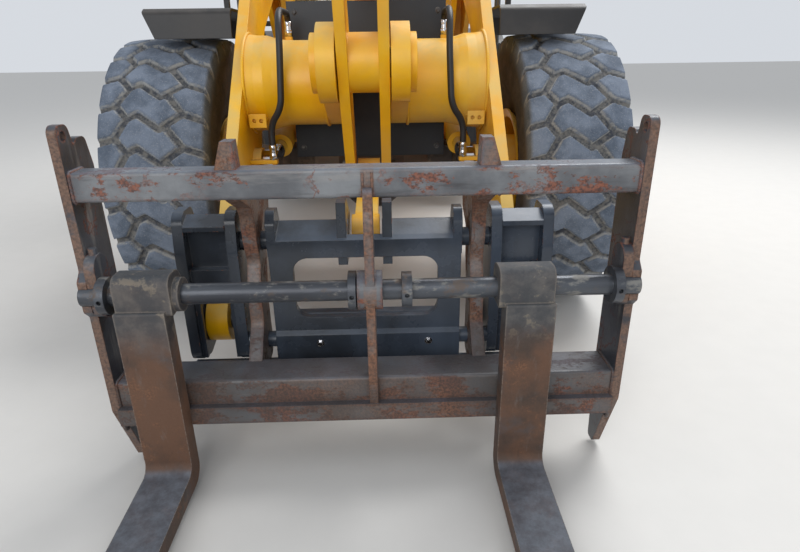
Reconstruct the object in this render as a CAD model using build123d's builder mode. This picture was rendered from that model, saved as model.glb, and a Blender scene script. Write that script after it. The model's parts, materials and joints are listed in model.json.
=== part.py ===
from build123d import *
import math
import os

# Wheel loader with a quick coupler and pallet forks. Millimetres, +Z up, the machine faces -Y.
# "Ahead" is a distance forward of the front axle, so a place is given as (ahead, height).
# Left and right are the machine's own: its left side is at +X.

# Overall layout
wheelbase = 3030
pivot_ahead = -1515
track = 2060
tyre_radius = 745
tyre_width = 525
rim_radius = 318
tine_tip_ahead = 3360
counterweight_back_ahead = -4880
front_axle_y = (tine_tip_ahead + counterweight_back_ahead) / 2
rear_axle_ahead = -wheelbase
axle_height = tyre_radius

# Clearances
pin_gap = 0.3
seat_gap = 0.3
side_gap = 6
pin_cap = 18

# Linkage pins, (ahead, height)
arm_pivot = (-600, 1950)
tool_pivot = (1350, 430)
crank_pivot = (880, 1370)
crank_top = (1130, 1890)
crank_low = (610, 830)
tilt_lug = (1325, 765)
tilt_base = (-275, 1700)
lift_base = (-800, 1150)
lift_head = (590, 900)
cross_tube = (480, 1270)

# Lift arms
arm_inner = 560
arm_thick = 52
tip_boss_radius = 92
tip_inner = 546
tip_outer = 630
lift_boss_radius = 78
cross_tube_radius = 200
lug_inner = 112
lug_outer = 190
lug_radius = 160
crank_inner = 62
crank_outer = 106
crank_pin_radius = 60
crank_sleeve_radius = 92
crank_hub_radius = 120
link_pin_radius = 45
link_sleeve_radius = 70
link_eye_radius = 92

# Cylinders
lift_centre = 478
lift_barrel_radius = 62
lift_rod_radius = 35
lift_eye_radius = 68
lift_eye_half = 36
tilt_barrel_radius = 80
tilt_rod_radius = 42
tilt_eye_radius = 75
tilt_eye_half = 55
barrel_wall = 12

# Front frame
plate_inner = 360
plate_thick = 40
tower_inner = 520
tower_plate = 34
tower_outer_inner = 627
frame_top = 1290
frame_low = 560
lug_plate = 50

# Coupler and fork frame
wing_inner = 452
wing_outer = 674
wing_plate = 38
coupler_half = 345
coupler_front = 1520
frame_half = 875
side_plate_thick = 28
shaft_at = (1785, 722)
shaft_radius = 33
tine_width = 156
tine_thick = 68
tine_face_ahead = 1862
tine_eye_width = 172
tine_eye_shift = 12
left_tine_x = frame_half - 355
right_tine_x = 195 - frame_half

# Cab and body
cab_front_ahead = -1300
cab_back_ahead = -2780
cab_half = 700
cab_floor = 1450
cab_top = 3250
cab_wall = 60
hood_half = 620
hood_front_ahead = -2850
hood_back_ahead = -4600
hood_top = 2330
hood_low = 1300
hood_wall = 40

os.makedirs("parts", exist_ok=True)


def at(ahead, height):
    """Side-view place (ahead, height) as the sketch coordinates of a YZ plane."""
    return (front_axle_y - ahead, height)


def save(part, name):
    """Labels a finished piece and writes its file."""
    part.label = name
    export_step(part, f"parts/{name}.step")


def side_plate(points, x_low, thick, radii=0, mode=Mode.ADD):
    """Plate with a side-view outline of (ahead, height) points, from x_low outwards."""
    with BuildSketch(Plane.YZ.offset(x_low)) as profile:
        with BuildLine():
            if radii:
                FilletPolyline(*[at(*point) for point in points], radius=radii, close=True)
            else:
                Polyline(*[at(*point) for point in points], close=True)
        make_face()
    extrude(profile.sketch, amount=thick, mode=mode)


def disc(centre, radius, x_low, thick, mode=Mode.ADD):
    """Cylinder along X at a side-view centre."""
    with BuildSketch(Plane.YZ.offset(x_low)) as profile:
        with Locations(at(*centre)):
            Circle(radius)
    extrude(profile.sketch, amount=thick, mode=mode)


def block(x_range, ahead_range, height_range, mode=Mode.ADD):
    """Rectangular block between limits in x, ahead and height."""
    with BuildSketch(Plane.YZ.offset(x_range[0])) as profile:
        middle = at(sum(ahead_range) / 2, sum(height_range) / 2)
        with Locations(middle):
            Rectangle(abs(ahead_range[1] - ahead_range[0]), height_range[1] - height_range[0])
    extrude(profile.sketch, amount=x_range[1] - x_range[0], mode=mode)


def top_plate(points, low, thick, radii=0, mode=Mode.ADD):
    """Flat plate with a plan outline of (x, ahead) points, from a height upwards."""
    places = [(x, front_axle_y - ahead) for x, ahead in points]
    with BuildSketch(Plane.XY.offset(low)) as profile:
        with BuildLine():
            if radii:
                FilletPolyline(*places, radius=radii, close=True)
            else:
                Polyline(*places, close=True)
        make_face()
    extrude(profile.sketch, amount=thick, mode=mode)


def facing(ahead):
    """Plane that looks ahead, its sketch coordinates being x and height."""
    return Plane(origin=(0, front_axle_y - ahead, 0), x_dir=(1, 0, 0), z_dir=(0, -1, 0))


def front_plate(points, ahead, thick, radii=0, mode=Mode.ADD):
    """Plate with a front-view outline of (x, height) points, from a place forwards."""
    with BuildSketch(facing(ahead)) as profile:
        with BuildLine():
            if radii:
                FilletPolyline(*points, radius=radii, close=True)
            else:
                Polyline(*points, close=True)
        make_face()
    extrude(profile.sketch, amount=thick, mode=mode)


def front_disc(x, height, radius, ahead, thick, mode=Mode.ADD):
    """Cylinder that points ahead."""
    with BuildSketch(facing(ahead)) as profile:
        with Locations((x, height)):
            Circle(radius)
    extrude(profile.sketch, amount=thick, mode=mode)


def post(x, ahead, radius, low, high, mode=Mode.ADD):
    """Upright cylinder between two heights."""
    with BuildSketch(Plane.XY.offset(low)) as profile:
        with Locations((x, front_axle_y - ahead)):
            Circle(radius)
    extrude(profile.sketch, amount=high - low, mode=mode)


def turned_up(points, x, ahead):
    """Solid of revolution about an upright axis, from (radius, height) points."""
    y = front_axle_y - ahead
    with BuildSketch(Plane(origin=(x, y, 0), x_dir=(1, 0, 0), z_dir=(0, -1, 0))) as profile:
        with BuildLine():
            Polyline(*points, close=True)
        make_face()
    revolve(profile.sketch, axis=Axis((x, y, 0), (0, 0, 1)))


def tube(points, radius, bend):
    """Round bar through (x, ahead, height) places, its corners bent to one radius or a list."""
    with BuildLine() as route:
        FilletPolyline(*[(x, front_axle_y - ahead, height) for x, ahead, height in points], radius=bend)
    with BuildSketch(Plane(origin=route.line @ 0, z_dir=route.line % 0)) as section:
        Circle(radius)
    sweep(section.sketch, path=route.line)


def easy_bends(points):
    """Largest bend at each inner corner that 0.45 of its shorter run leaves room for."""
    bends = []
    for before, corner, after in zip(points, points[1:], points[2:]):
        run_in = Vector(*corner) - Vector(*before)
        run_out = Vector(*after) - Vector(*corner)
        half_turn = math.radians(run_in.get_angle(run_out)) / 2
        bends.append(0.45 * min(run_in.length, run_out.length) / math.tan(half_turn))
    return bends


def arc_band(centre, inner, outer, angles, x_low, thick):
    """Curved sheet about a side-view centre, between two angles from straight ahead upwards."""
    start = 180 - angles[1]
    size = angles[1] - angles[0]
    with BuildSketch(Plane.YZ.offset(x_low)) as profile:
        with BuildLine():
            low_arc = CenterArc(at(*centre), inner, start, size)
            high_arc = CenterArc(at(*centre), outer, start, size)
            Line(low_arc @ 0, high_arc @ 0)
            Line(low_arc @ 1, high_arc @ 1)
        make_face()
    extrude(profile.sketch, amount=thick)


def turned(points, centre, mode=Mode.ADD):
    """Solid of revolution about X through a side-view centre, from (x, radius) points."""
    y, z = at(*centre)
    spin_plane = Plane(origin=(0, y, z), x_dir=(1, 0, 0), z_dir=(0, -1, 0))
    with BuildSketch(spin_plane) as profile:
        with BuildLine():
            Polyline(*points, close=True)
        make_face()
    revolve(profile.sketch, axis=Axis((0, y, z), (1, 0, 0)), mode=mode)


def rod_between(start, end, x, radius, mode=Mode.ADD):
    """Round bar in the side-view plane at x, from one (ahead, height) place to another."""
    y0, z0 = at(*start)
    y1, z1 = at(*end)
    run = Vector(0, y1 - y0, z1 - z0)
    bar_plane = Plane(origin=(x, y0, z0), x_dir=(1, 0, 0), z_dir=run.normalized())
    with BuildSketch(bar_plane) as profile:
        Circle(radius)
    extrude(profile.sketch, amount=run.length, mode=mode)


def along(start, end, distance):
    """Place at a distance from start on the line towards end."""
    length = math.dist(start, end)
    share = distance / length
    return (start[0] + (end[0] - start[0]) * share, start[1] + (end[1] - start[1]) * share)


# Wheels
hub_radius = 190
flange_x = 712
tyre_low = track / 2 - tyre_width / 2
tyre_high = track / 2 + tyre_width / 2
tyre_profile = [
    (tyre_low + 45, rim_radius),
    (tyre_low + 42, rim_radius + 26),
    (tyre_low + 8, 430),
    (tyre_low, 520),
    (tyre_low + 12, 620),
    (tyre_low + 34, 700),
    (tyre_low + 62, tyre_radius),
]
tyre_section = tyre_profile + [(track - x, r) for x, r in reversed(tyre_profile)]
rim_section = [
    (flange_x + seat_gap, 75),
    (flange_x + seat_gap, hub_radius),
    (flange_x + 60, hub_radius),
    (track / 2 + 20, hub_radius + 10),
    (track / 2 + 30, rim_radius - 30),
    (tyre_low + 40, rim_radius - 24),
    (tyre_low + 28, rim_radius + 22),
    (tyre_low + 40, rim_radius + 22),
    (tyre_low + 45, rim_radius),
    (tyre_high - 45, rim_radius),
    (tyre_high - 40, rim_radius + 22),
    (tyre_high - 28, rim_radius + 22),
    (tyre_high - 40, rim_radius - 24),
    (track / 2 + 60, rim_radius - 30),
    (track / 2 + 50, hub_radius + 10),
    (track / 2 + 95, hub_radius - 20),
    (track / 2 + 130, 120),
    (track / 2 + 130, 0),
    (flange_x + 160, 0),
    (flange_x + 160, 75),
]
for end_name, ahead in (("front", 0), ("rear", rear_axle_ahead)):
    for side_name, side in (("left", 1), ("right", -1)):
        with BuildPart() as tyre:
            turned([(side * x, r) for x, r in tyre_section], (ahead, axle_height))
        save(tyre.part, f"tyre_{end_name}_{side_name}")
        with BuildPart() as rim:
            turned([(side * x, r) for x, r in rim_section], (ahead, axle_height))
        save(rim.part, f"rim_{end_name}_{side_name}")

# Axles
spindle_radius = 75 - pin_gap
axle_section = [
    (0, 0),
    (0, 230),
    (90, 215),
    (190, 130),
    (520, 118),
    (600, 150),
    (flange_x - 30, 165),
    (flange_x - 30, hub_radius - 8),
    (flange_x, hub_radius - 8),
    (flange_x, spindle_radius),
    (flange_x + 150, spindle_radius),
    (flange_x + 150, 0),
]
pad_top = 900
for end_name, ahead in (("front", 0), ("rear", rear_axle_ahead)):
    with BuildPart() as axle:
        turned(axle_section, (ahead, axle_height))
        block((330, 470), (ahead - 110, ahead + 110), (axle_height, pad_top))
        mirror(about=Plane.YZ)
    save(axle.part, f"{end_name}_axle")

# Front frame
yoke_radius = 108
pivot_pin_radius = 50
bulkhead_ahead = -1250
bulkhead_thick = 40
yoke_low = (540, 590)
yoke_high = (1130, 1180)
panel_back = 200


def yoke(low, thick, root_half, root_ahead, toward):
    """Tapered pivot lug from a bulkhead to a round end at the steering pivot."""
    outline = [
        (-root_half, root_ahead),
        (root_half, root_ahead),
        (yoke_radius, pivot_ahead + toward * 20),
        (-yoke_radius, pivot_ahead + toward * 20),
    ]
    top_plate(outline, low, thick)
    with BuildSketch(Plane.XY.offset(low)) as end:
        with Locations((0, front_axle_y - pivot_ahead)):
            Circle(yoke_radius + 6)
    extrude(end.sketch, amount=thick)


main_plate = [
    (bulkhead_ahead, frame_low),
    (-420, frame_low),
    (-340, pad_top),
    (panel_back, pad_top),
    (panel_back, 1620),
    (-150, 1620),
    (-420, 1420),
    (-700, frame_top),
    (bulkhead_ahead, frame_top),
]
tower_plate_outline = [
    (-1000, 700),
    (-640, 700),
    (-560, 800),
    (-560, 960),
    (-720, 1040),
    (-745, 1205),
    (-850, 1240),
    (-700, 1450),
    (-560, 1640),
    (-470, 1860),
    (-470, 2040),
    (-560, 2100),
    (-660, 2100),
    (-900, 1900),
    (-1000, 1300),
]
outer_plate_outline = [
    (-940, 1300),
    (-780, 1500),
    (-520, 1800),
    (-470, 1900),
    (-470, 2040),
    (-560, 2100),
    (-660, 2100),
    (-900, 1900),
    (-940, 1700),
]
lift_pin_radius = 38
arm_pin_radius = 50
tilt_pin_radius = 40
with BuildPart() as front_chassis:
    side_plate(main_plate, plate_inner, plate_thick)
    side_plate(tower_plate_outline, tower_inner, tower_plate)
    side_plate(outer_plate_outline, tower_outer_inner, tower_plate)
    block((tower_inner, tower_outer_inner + tower_plate), (-940, -900), (1300, 1900))
    block((plate_inner, tower_inner + tower_plate), (-1000, -960), (700, frame_top))
    block((plate_inner, tower_inner + tower_plate), (-960, -640), (700, 740))
    disc(lift_base, 85, plate_inner, lift_centre - lift_eye_half - side_gap - plate_inner)
    disc(lift_base, lift_pin_radius, plate_inner, tower_inner + tower_plate - plate_inner)
    disc(arm_pivot, arm_pin_radius, tower_inner, tower_outer_inner + tower_plate - tower_inner + pin_cap)
    block((0, plate_inner + plate_thick), (bulkhead_ahead - bulkhead_thick, bulkhead_ahead),
          (frame_low - 20, frame_top))
    block((0, plate_inner), (-360, -190), (1440, 1480))
    side_plate([(-360, 1480), (-190, 1480), (-215, 1770), (-335, 1770)], tilt_eye_half + side_gap, 45)
    disc(tilt_base, tilt_pin_radius, 0, tilt_eye_half + side_gap + 45 + pin_cap)
    block((0, plate_inner), (-420, -380), (frame_low, 1100))
    block((0, plate_inner), (panel_back - 40, panel_back), (pad_top + 50, 1620))
    mirror(about=Plane.YZ)
    for low, high in (yoke_low, yoke_high):
        yoke(low, high - low, 380, bulkhead_ahead - bulkhead_thick, 1)
    for low, high in (yoke_low, yoke_high):
        with BuildSketch(Plane.XY.offset(low)) as pivot_bore:
            with Locations((0, front_axle_y - pivot_ahead)):
                Circle(pivot_pin_radius + pin_gap)
        extrude(pivot_bore.sketch, amount=high - low, mode=Mode.SUBTRACT)
    for side in (1, -1):
        block(sorted((side * 290, side * 390)), (-1450, bulkhead_ahead - bulkhead_thick), (800, 826))
        block(sorted((side * 290, side * 390)), (-1450, bulkhead_ahead - bulkhead_thick), (894, 920))
save(front_chassis.part, "front_chassis")

panel_half = 405
with BuildPart() as front_cover:
    block((-panel_half, panel_half), (panel_back, panel_back + 45), (870, 1650))
save(front_cover.part, "front_cover")

# Mudguards stand on brackets from the towers, outside the lift arms.
mudguard_inner = 668
mudguard_outer = 1100
mudguard_front = 336
mudguard_side = [
    (-560, 1500),
    (-430, 1612),
    (300, 1620),
    (mudguard_front, 1600),
    (mudguard_front + 14, 1480),
    (mudguard_front + 2, 1480),
    (mudguard_front - 11, 1590),
    (296, 1607),
    (-425, 1599),
    (-552, 1490),
]
with BuildPart() as front_mudguards:
    side_plate(mudguard_side, mudguard_inner, mudguard_outer - mudguard_inner,
               radii=[0, 60, 30, 30, 0, 0, 18, 18, 50, 0])
    front_plate([(1045, 1470), (1104, 1612), (1140, 1612), (1140, 1470)], mudguard_front - 26, 60,
                mode=Mode.SUBTRACT)
    block((tower_outer_inner + tower_plate, 740), (-780, -720), (1568, 1598))
    block((700, 740), (-720, -425), (1568, 1598))
    mirror(about=Plane.YZ)
save(front_mudguards.part, "front_mudguards")

lamp_outline = [(760, 1760), (900, 1760), (900, 1900), (760, 1900)]
with BuildPart() as head_lamps:
    front_plate(lamp_outline, -330, 80, radii=34)
    front_disc(830, 1830, 56, -262, 20, mode=Mode.SUBTRACT)
    front_disc(830, 1830, 50, -262, 8)
    block((815, 845), (-310, -280), (1614, 1762))
    mirror(about=Plane.YZ)
save(head_lamps.part, "head_lamps")

# Lift arms
arm_outline = [
    (-600, 2068),
    (0, 2010),
    (170, 1850),
    (905, 1060),
    (1425, 480),
    (1290, 350),
    (820, 745),
    (600, 812),
    (470, 880),
    (250, 1230),
    (60, 1520),
    (-590, 1832),
]
arm_radii = [60, 220, 260, 300, 40, 40, 160, 200, 200, 200, 200, 60]
cross_tube_section = [
    (lug_inner, 0),
    (lug_inner, cross_tube_radius - 4),
    (380, cross_tube_radius - 4),
    (430, cross_tube_radius + 6),
    (470, cross_tube_radius + 18),
    (513, cross_tube_radius + 19),
    (arm_inner, cross_tube_radius + 26),
    (arm_inner, 0),
]
hose_clip_x = (468, 548)
with BuildPart() as lift_arms:
    side_plate(arm_outline, arm_inner, arm_thick, radii=arm_radii)
    disc(tool_pivot, tip_boss_radius, tip_inner, tip_outer - tip_inner)
    disc(lift_head, lift_boss_radius, lift_centre + lift_eye_half + side_gap,
         arm_inner - lift_centre - lift_eye_half - side_gap)
    turned(cross_tube_section, cross_tube)
    block(hose_clip_x, (610, 690), (1112, 1126))
    block(hose_clip_x, (690, 702), (1088, 1150))
    for x in hose_clip_x:
        front_disc(x + (24 if x == hose_clip_x[0] else -24), 1119, 9, 685, 20, mode=Mode.SUBTRACT)
    block((432, arm_inner), (684, 716), (922, 940))
    block((370, 402), (330, 370), (1380, 1484))
    disc(crank_pivot, lug_radius, lug_inner, lug_outer - lug_inner)
    side_plate([(480, 1465), (880, 1525), (1030, 1330), (820, 1222), (560, 1090)], lug_inner,
               lug_outer - lug_inner)
    disc((430, 1330), 110, 0, lug_inner)
    disc(arm_pivot, arm_pin_radius + pin_gap, arm_inner, arm_thick, mode=Mode.SUBTRACT)
    disc(tool_pivot, 45 + pin_gap, tip_inner, tip_outer - tip_inner, mode=Mode.SUBTRACT)
    disc(crank_pivot, crank_pin_radius + pin_gap, lug_inner, lug_outer - lug_inner, mode=Mode.SUBTRACT)
    mirror(about=Plane.YZ)
save(lift_arms.part, "lift_arms")

# Two hoses come over the cross tube and end at brackets on the lift arms.
hose_radius = 15
hose_route = [
    (386, 350, 1484),
    (386, 350, 1590),
    (384, 640, 1590),
    (376, 716, 1440),
    (388, 738, 1180),
    (450, 700, 1100),
    (450, 700, 940),
]
with BuildPart() as arm_hoses:
    tube(hose_route, hose_radius, easy_bends(hose_route))
    mirror(about=Plane.YZ)
save(arm_hoses.part, "arm_hoses")

# The crank pin turns with its bearing sleeve and its two retaining flanges.
flange_thick = 28
with BuildPart() as crank_pin:
    disc(crank_pivot, crank_pin_radius, 0, lug_outer)
    disc(crank_pivot, crank_sleeve_radius, 0, crank_inner - seat_gap)
    disc(crank_pivot, crank_hub_radius, lug_outer + seat_gap, flange_thick)
    disc(crank_pivot, crank_pin_radius, lug_outer, seat_gap)
    mirror(about=Plane.YZ)
save(crank_pin.part, "crank_pin")

with BuildPart() as hinge_pins:
    disc(tool_pivot, 45, wing_inner - pin_cap, wing_outer - wing_inner + 2 * pin_cap)
    mirror(about=Plane.YZ)
save(hinge_pins.part, "hinge_pins")

# Bell crank
crank_outline = [
    (1070, 1925),
    (1195, 1900),
    (1025, 1400),
    (960, 1240),
    (690, 800),
    (560, 780),
    (540, 870),
    (735, 1270),
    (775, 1450),
]
with BuildPart() as bell_crank:
    side_plate(crank_outline, crank_inner, crank_outer - crank_inner,
               radii=[50, 50, 120, 120, 50, 40, 50, 120, 120])
    disc(crank_pivot, crank_hub_radius, 0, crank_inner)
    disc(crank_pivot, crank_sleeve_radius + pin_gap, 0, crank_inner, mode=Mode.SUBTRACT)
    disc(crank_pivot, crank_pin_radius + pin_gap, 0, crank_outer, mode=Mode.SUBTRACT)
    disc(crank_low, link_pin_radius + pin_gap, crank_inner, crank_outer - crank_inner, mode=Mode.SUBTRACT)
    mirror(about=Plane.YZ)
save(bell_crank.part, "bell_crank")

link_half = 45
link_eye_half = 53
with BuildPart() as link_pin:
    disc(crank_low, link_pin_radius, 0, crank_outer + seat_gap)
    disc(crank_low, link_sleeve_radius, 0, link_eye_half)
    disc(crank_low, link_eye_radius - 7, crank_outer + seat_gap, flange_thick - 5)
    mirror(about=Plane.YZ)
save(link_pin.part, "link_pin")

with BuildPart() as tilt_link:
    disc(crank_low, link_eye_radius, -link_eye_half, 2 * link_eye_half)
    disc(tilt_lug, 72, -link_eye_half, 2 * link_eye_half)
    run_y = tilt_lug[0] - crank_low[0]
    run_z = tilt_lug[1] - crank_low[1]
    run = math.hypot(run_y, run_z)
    off = (-run_z / run * 48, run_y / run * 48)
    side_plate([
        (crank_low[0] + off[0], crank_low[1] + off[1]),
        (tilt_lug[0] + off[0], tilt_lug[1] + off[1]),
        (tilt_lug[0] - off[0], tilt_lug[1] - off[1]),
        (crank_low[0] - off[0], crank_low[1] - off[1]),
    ], -link_half, 2 * link_half)
    disc(crank_low, link_sleeve_radius + pin_gap, -link_eye_half, 2 * link_eye_half, mode=Mode.SUBTRACT)
save(tilt_link.part, "tilt_link")


# Cylinders: the barrel turns on its base pin, the rod's eye carries its own pin core.
def barrel(base, head, x, eye_half, eye_radius, radius, length, bore_start, pin_radius, rod_radius):
    """Barrel with a base eye, a hollow bore and a gland round the rod."""
    trim = eye_radius + 32
    disc(base, eye_radius, x - eye_half, 2 * eye_half)
    rod_between(base, along(base, head, length), x, radius)
    rod_between(along(base, head, bore_start), along(base, head, length - 40), x,
                radius - barrel_wall, mode=Mode.SUBTRACT)
    rod_between(along(base, head, length - 40), along(base, head, length), x,
                rod_radius + pin_gap, mode=Mode.SUBTRACT)
    block((x - radius - 1, x - eye_half), (base[0] - eye_radius, base[0] + trim),
          (base[1] - radius - 40, base[1] + radius + 40), mode=Mode.SUBTRACT)
    block((x + eye_half, x + radius + 1), (base[0] - eye_radius, base[0] + trim),
          (base[1] - radius - 40, base[1] + radius + 40), mode=Mode.SUBTRACT)
    disc(base, pin_radius + pin_gap, x - eye_half, 2 * eye_half, mode=Mode.SUBTRACT)


def rod(base, head, x, eye_half, eye_radius, radius, piston_at, rod_radius):
    """Rod with its piston inside the barrel and an eye at the far pin."""
    rod_between(along(base, head, piston_at), along(base, head, piston_at + 50), x,
                radius - barrel_wall - pin_gap)
    rod_between(along(base, head, piston_at + 50), head, x, rod_radius)
    disc(head, eye_radius, x - eye_half, 2 * eye_half)


lift_length = 1150
with BuildPart() as lift_barrels:
    barrel(lift_base, lift_head, lift_centre, lift_eye_half, lift_eye_radius, lift_barrel_radius,
           lift_length, 102, lift_pin_radius, lift_rod_radius)
    mirror(about=Plane.YZ)
save(lift_barrels.part, "lift_barrels")
with BuildPart() as lift_rods:
    rod(lift_base, lift_head, lift_centre, lift_eye_half, lift_eye_radius, lift_barrel_radius,
        105, lift_rod_radius)
    mirror(about=Plane.YZ)
save(lift_rods.part, "lift_rods")

tilt_length = 880
with BuildPart() as tilt_barrel:
    barrel(tilt_base, crank_top, 0, tilt_eye_half, tilt_eye_radius, tilt_barrel_radius,
           tilt_length, 110, tilt_pin_radius, tilt_rod_radius)
save(tilt_barrel.part, "tilt_barrel")
with BuildPart() as tilt_rod:
    rod(tilt_base, crank_top, 0, tilt_eye_half, tilt_eye_radius, tilt_barrel_radius,
        520, tilt_rod_radius)
save(tilt_rod.part, "tilt_rod")

# Steering cylinders lie level beside the pivot.
steer_height = 860
steer_base = (420, -2330)
steer_head = (345, -1412)
steer_barrel_radius = 42
steer_rod_radius = 22
for side_name, side in (("left", 1), ("right", -1)):
    start = Vector(side * steer_base[0], front_axle_y - steer_base[1], steer_height)
    finish = Vector(side * steer_head[0], front_axle_y - steer_head[1], steer_height)
    way = (finish - start).normalized()
    barrel_plane = Plane(origin=start, x_dir=(0, 0, 1), z_dir=way)
    with BuildPart() as steer_barrel:
        with BuildSketch(barrel_plane):
            Circle(steer_barrel_radius)
        extrude(amount=600)
        with BuildSketch(Plane.XY.offset(steer_height - 30)) as eye:
            with Locations((start.X, start.Y)):
                Circle(48)
        extrude(eye.sketch, amount=60)
        with BuildSketch(barrel_plane.offset(70)) as hollow:
            Circle(steer_barrel_radius - 8)
        extrude(hollow.sketch, amount=500, mode=Mode.SUBTRACT)
        with BuildSketch(barrel_plane.offset(570)) as gland:
            Circle(steer_rod_radius + pin_gap)
        extrude(gland.sketch, amount=30, mode=Mode.SUBTRACT)
        with BuildSketch(Plane.XY.offset(steer_height - 50)) as bore:
            with Locations((start.X, start.Y)):
                Circle(25 + pin_gap)
        extrude(bore.sketch, amount=100, mode=Mode.SUBTRACT)
        with BuildSketch(Plane.XY.offset(steer_height + 30)) as trim:
            with Locations((start.X, start.Y)):
                Circle(75)
        extrude(trim.sketch, amount=30, mode=Mode.SUBTRACT)
        with BuildSketch(Plane.XY.offset(steer_height - 60)) as trim_low:
            with Locations((start.X, start.Y)):
                Circle(75)
        extrude(trim_low.sketch, amount=30, mode=Mode.SUBTRACT)
    save(steer_barrel.part, f"steering_barrel_{side_name}")
    with BuildPart() as steer_rod:
        with BuildSketch(barrel_plane.offset(300)):
            Circle(steer_barrel_radius - 8 - pin_gap)
        extrude(amount=30)
        with BuildSketch(barrel_plane.offset(330)) as stem:
            Circle(steer_rod_radius)
        extrude(stem.sketch, amount=(finish - start).length - 330)
        with BuildSketch(Plane.XY.offset(steer_height - 28)) as eye:
            with Locations((finish.X, finish.Y)):
                Circle(40)
        extrude(eye.sketch, amount=56)
    save(steer_rod.part, f"steering_rod_{side_name}")

# Quick coupler
wing_outline = [
    (1242, 400),
    (1290, 560),
    (1340, 800),
    (1385, 902),
    (1500, 902),
    (coupler_front, 760),
    (coupler_front, 330),
    (1400, 296),
    (1310, 320),
]
wing_radii = [40, 80, 60, 30, 48, 60, 50, 60, 50]
wing_low = wing_inner + wing_plate
wing_span = wing_outer - 2 * wing_plate - wing_inner
coupler_low = 304
window_half = 262
window_height = (500, 735)
shelf_height = 812
hook_pins = [((1440, 780), 34), ((1490, 400), 30)]
with BuildPart() as quick_coupler:
    for low in (wing_inner, wing_outer - wing_plate):
        side_plate(wing_outline, low, wing_plate, radii=wing_radii)
    side_plate([(1448, 868), (1514, 838), (1514, 856), (1448, 886)], wing_low, wing_span)
    block((wing_low, wing_low + wing_span), (1448, 1466), (690, 876))
    block((wing_low, wing_low + wing_span), (1448, 1500), (672, 690))
    block((wing_low, wing_low + wing_span), (1482, 1500), (330, 672))
    front_plate([(508, 300), (618, 300), (618, 640), (508, 640)], 1476, 30, radii=[0, 0, 54, 54],
                mode=Mode.SUBTRACT)
    block((0, coupler_half), (1420, coupler_front), (coupler_low - 18, coupler_low))
    block((coupler_half, wing_outer), (1466, coupler_front), (coupler_low - 18, coupler_low))
    front_plate([(-coupler_half, coupler_low), (coupler_half, coupler_low), (coupler_half, 800),
                 (-coupler_half, 800)], 1490, coupler_front - 1490)
    side_plate([(1425, 742), (1425, 850), (1500, shelf_height), (coupler_front, 800), (coupler_front, 742)],
               0, coupler_half)
    side_plate([(1440, coupler_low), (1440, 500), (1478, 500), (coupler_front + 12, 432),
                (coupler_front + 12, coupler_low)], 0, coupler_half)
    block((300, coupler_half), (1440, 1490), (500, 742))
    front_plate([(-window_half, window_height[0]), (window_half, window_height[0]),
                 (window_half, window_height[1]), (-window_half, window_height[1])],
                1480, 60, radii=55, mode=Mode.SUBTRACT)
    side_plate([(1405, 742), (1405, 850), (1432, 904), (1492, 904), (coupler_front, 860),
                (coupler_front, 742)], coupler_half - 30, 32, radii=[0, 30, 24, 24, 24, 0])
    side_plate([(1262, 700), (1262, 830), (1440, 930), (1500, 930), (1512, 800), (1500, 700)], 64, 34)
    block((0, 62), (1400, 1474), (746, 890), mode=Mode.SUBTRACT)
    block((0, 62), (1470, 1496), (786, 890), mode=Mode.SUBTRACT)
    for place, radius in hook_pins:
        disc(place, radius, coupler_half - 5, wing_inner - coupler_half + 10)
    disc(tool_pivot, 45 + pin_gap, wing_inner, wing_outer - wing_inner, mode=Mode.SUBTRACT)
    mirror(about=Plane.YZ)
save(quick_coupler.part, "quick_coupler")

# Fork frame
plate_front = 1775
frame_side_outline = [
    (plate_front, 284),
    (plate_front, 645),
    (plate_front + 27, 672),
    (plate_front + 27, 772),
    (plate_front, 800),
    (plate_front, 1238),
    (1710, 1238),
    (1694, 1168),
    (1672, 1192),
    (1622, 1192),
    (1600, 1100),
    (1600, 300),
    (1622, 20),
    (1668, 20),
]
frame_side_radii = [30, 15, 12, 12, 15, 26, 26, 10, 18, 24, 30, 60, 14, 16]
horn_hole = (1743, 1205)
horn_hole_radius = 15
pad_long = 33
plate_low = frame_half - side_plate_thick
with BuildPart() as fork_side_plates:
    side_plate(frame_side_outline, plate_low, side_plate_thick, radii=frame_side_radii)
    side_plate([(1706, 640), (1800, 640), (1800, 850), (1706, 850)], plate_low - pad_long, pad_long,
               radii=46)
    post(plate_low - pad_long / 2, 1753, 13, 842, 868)
    disc(shaft_at, shaft_radius, plate_low - pad_long, side_plate_thick + pad_long, mode=Mode.SUBTRACT)
    disc(horn_hole, horn_hole_radius, plate_low, side_plate_thick, mode=Mode.SUBTRACT)
    mirror(about=Plane.YZ)
save(fork_side_plates.part, "fork_side_plates")

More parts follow.
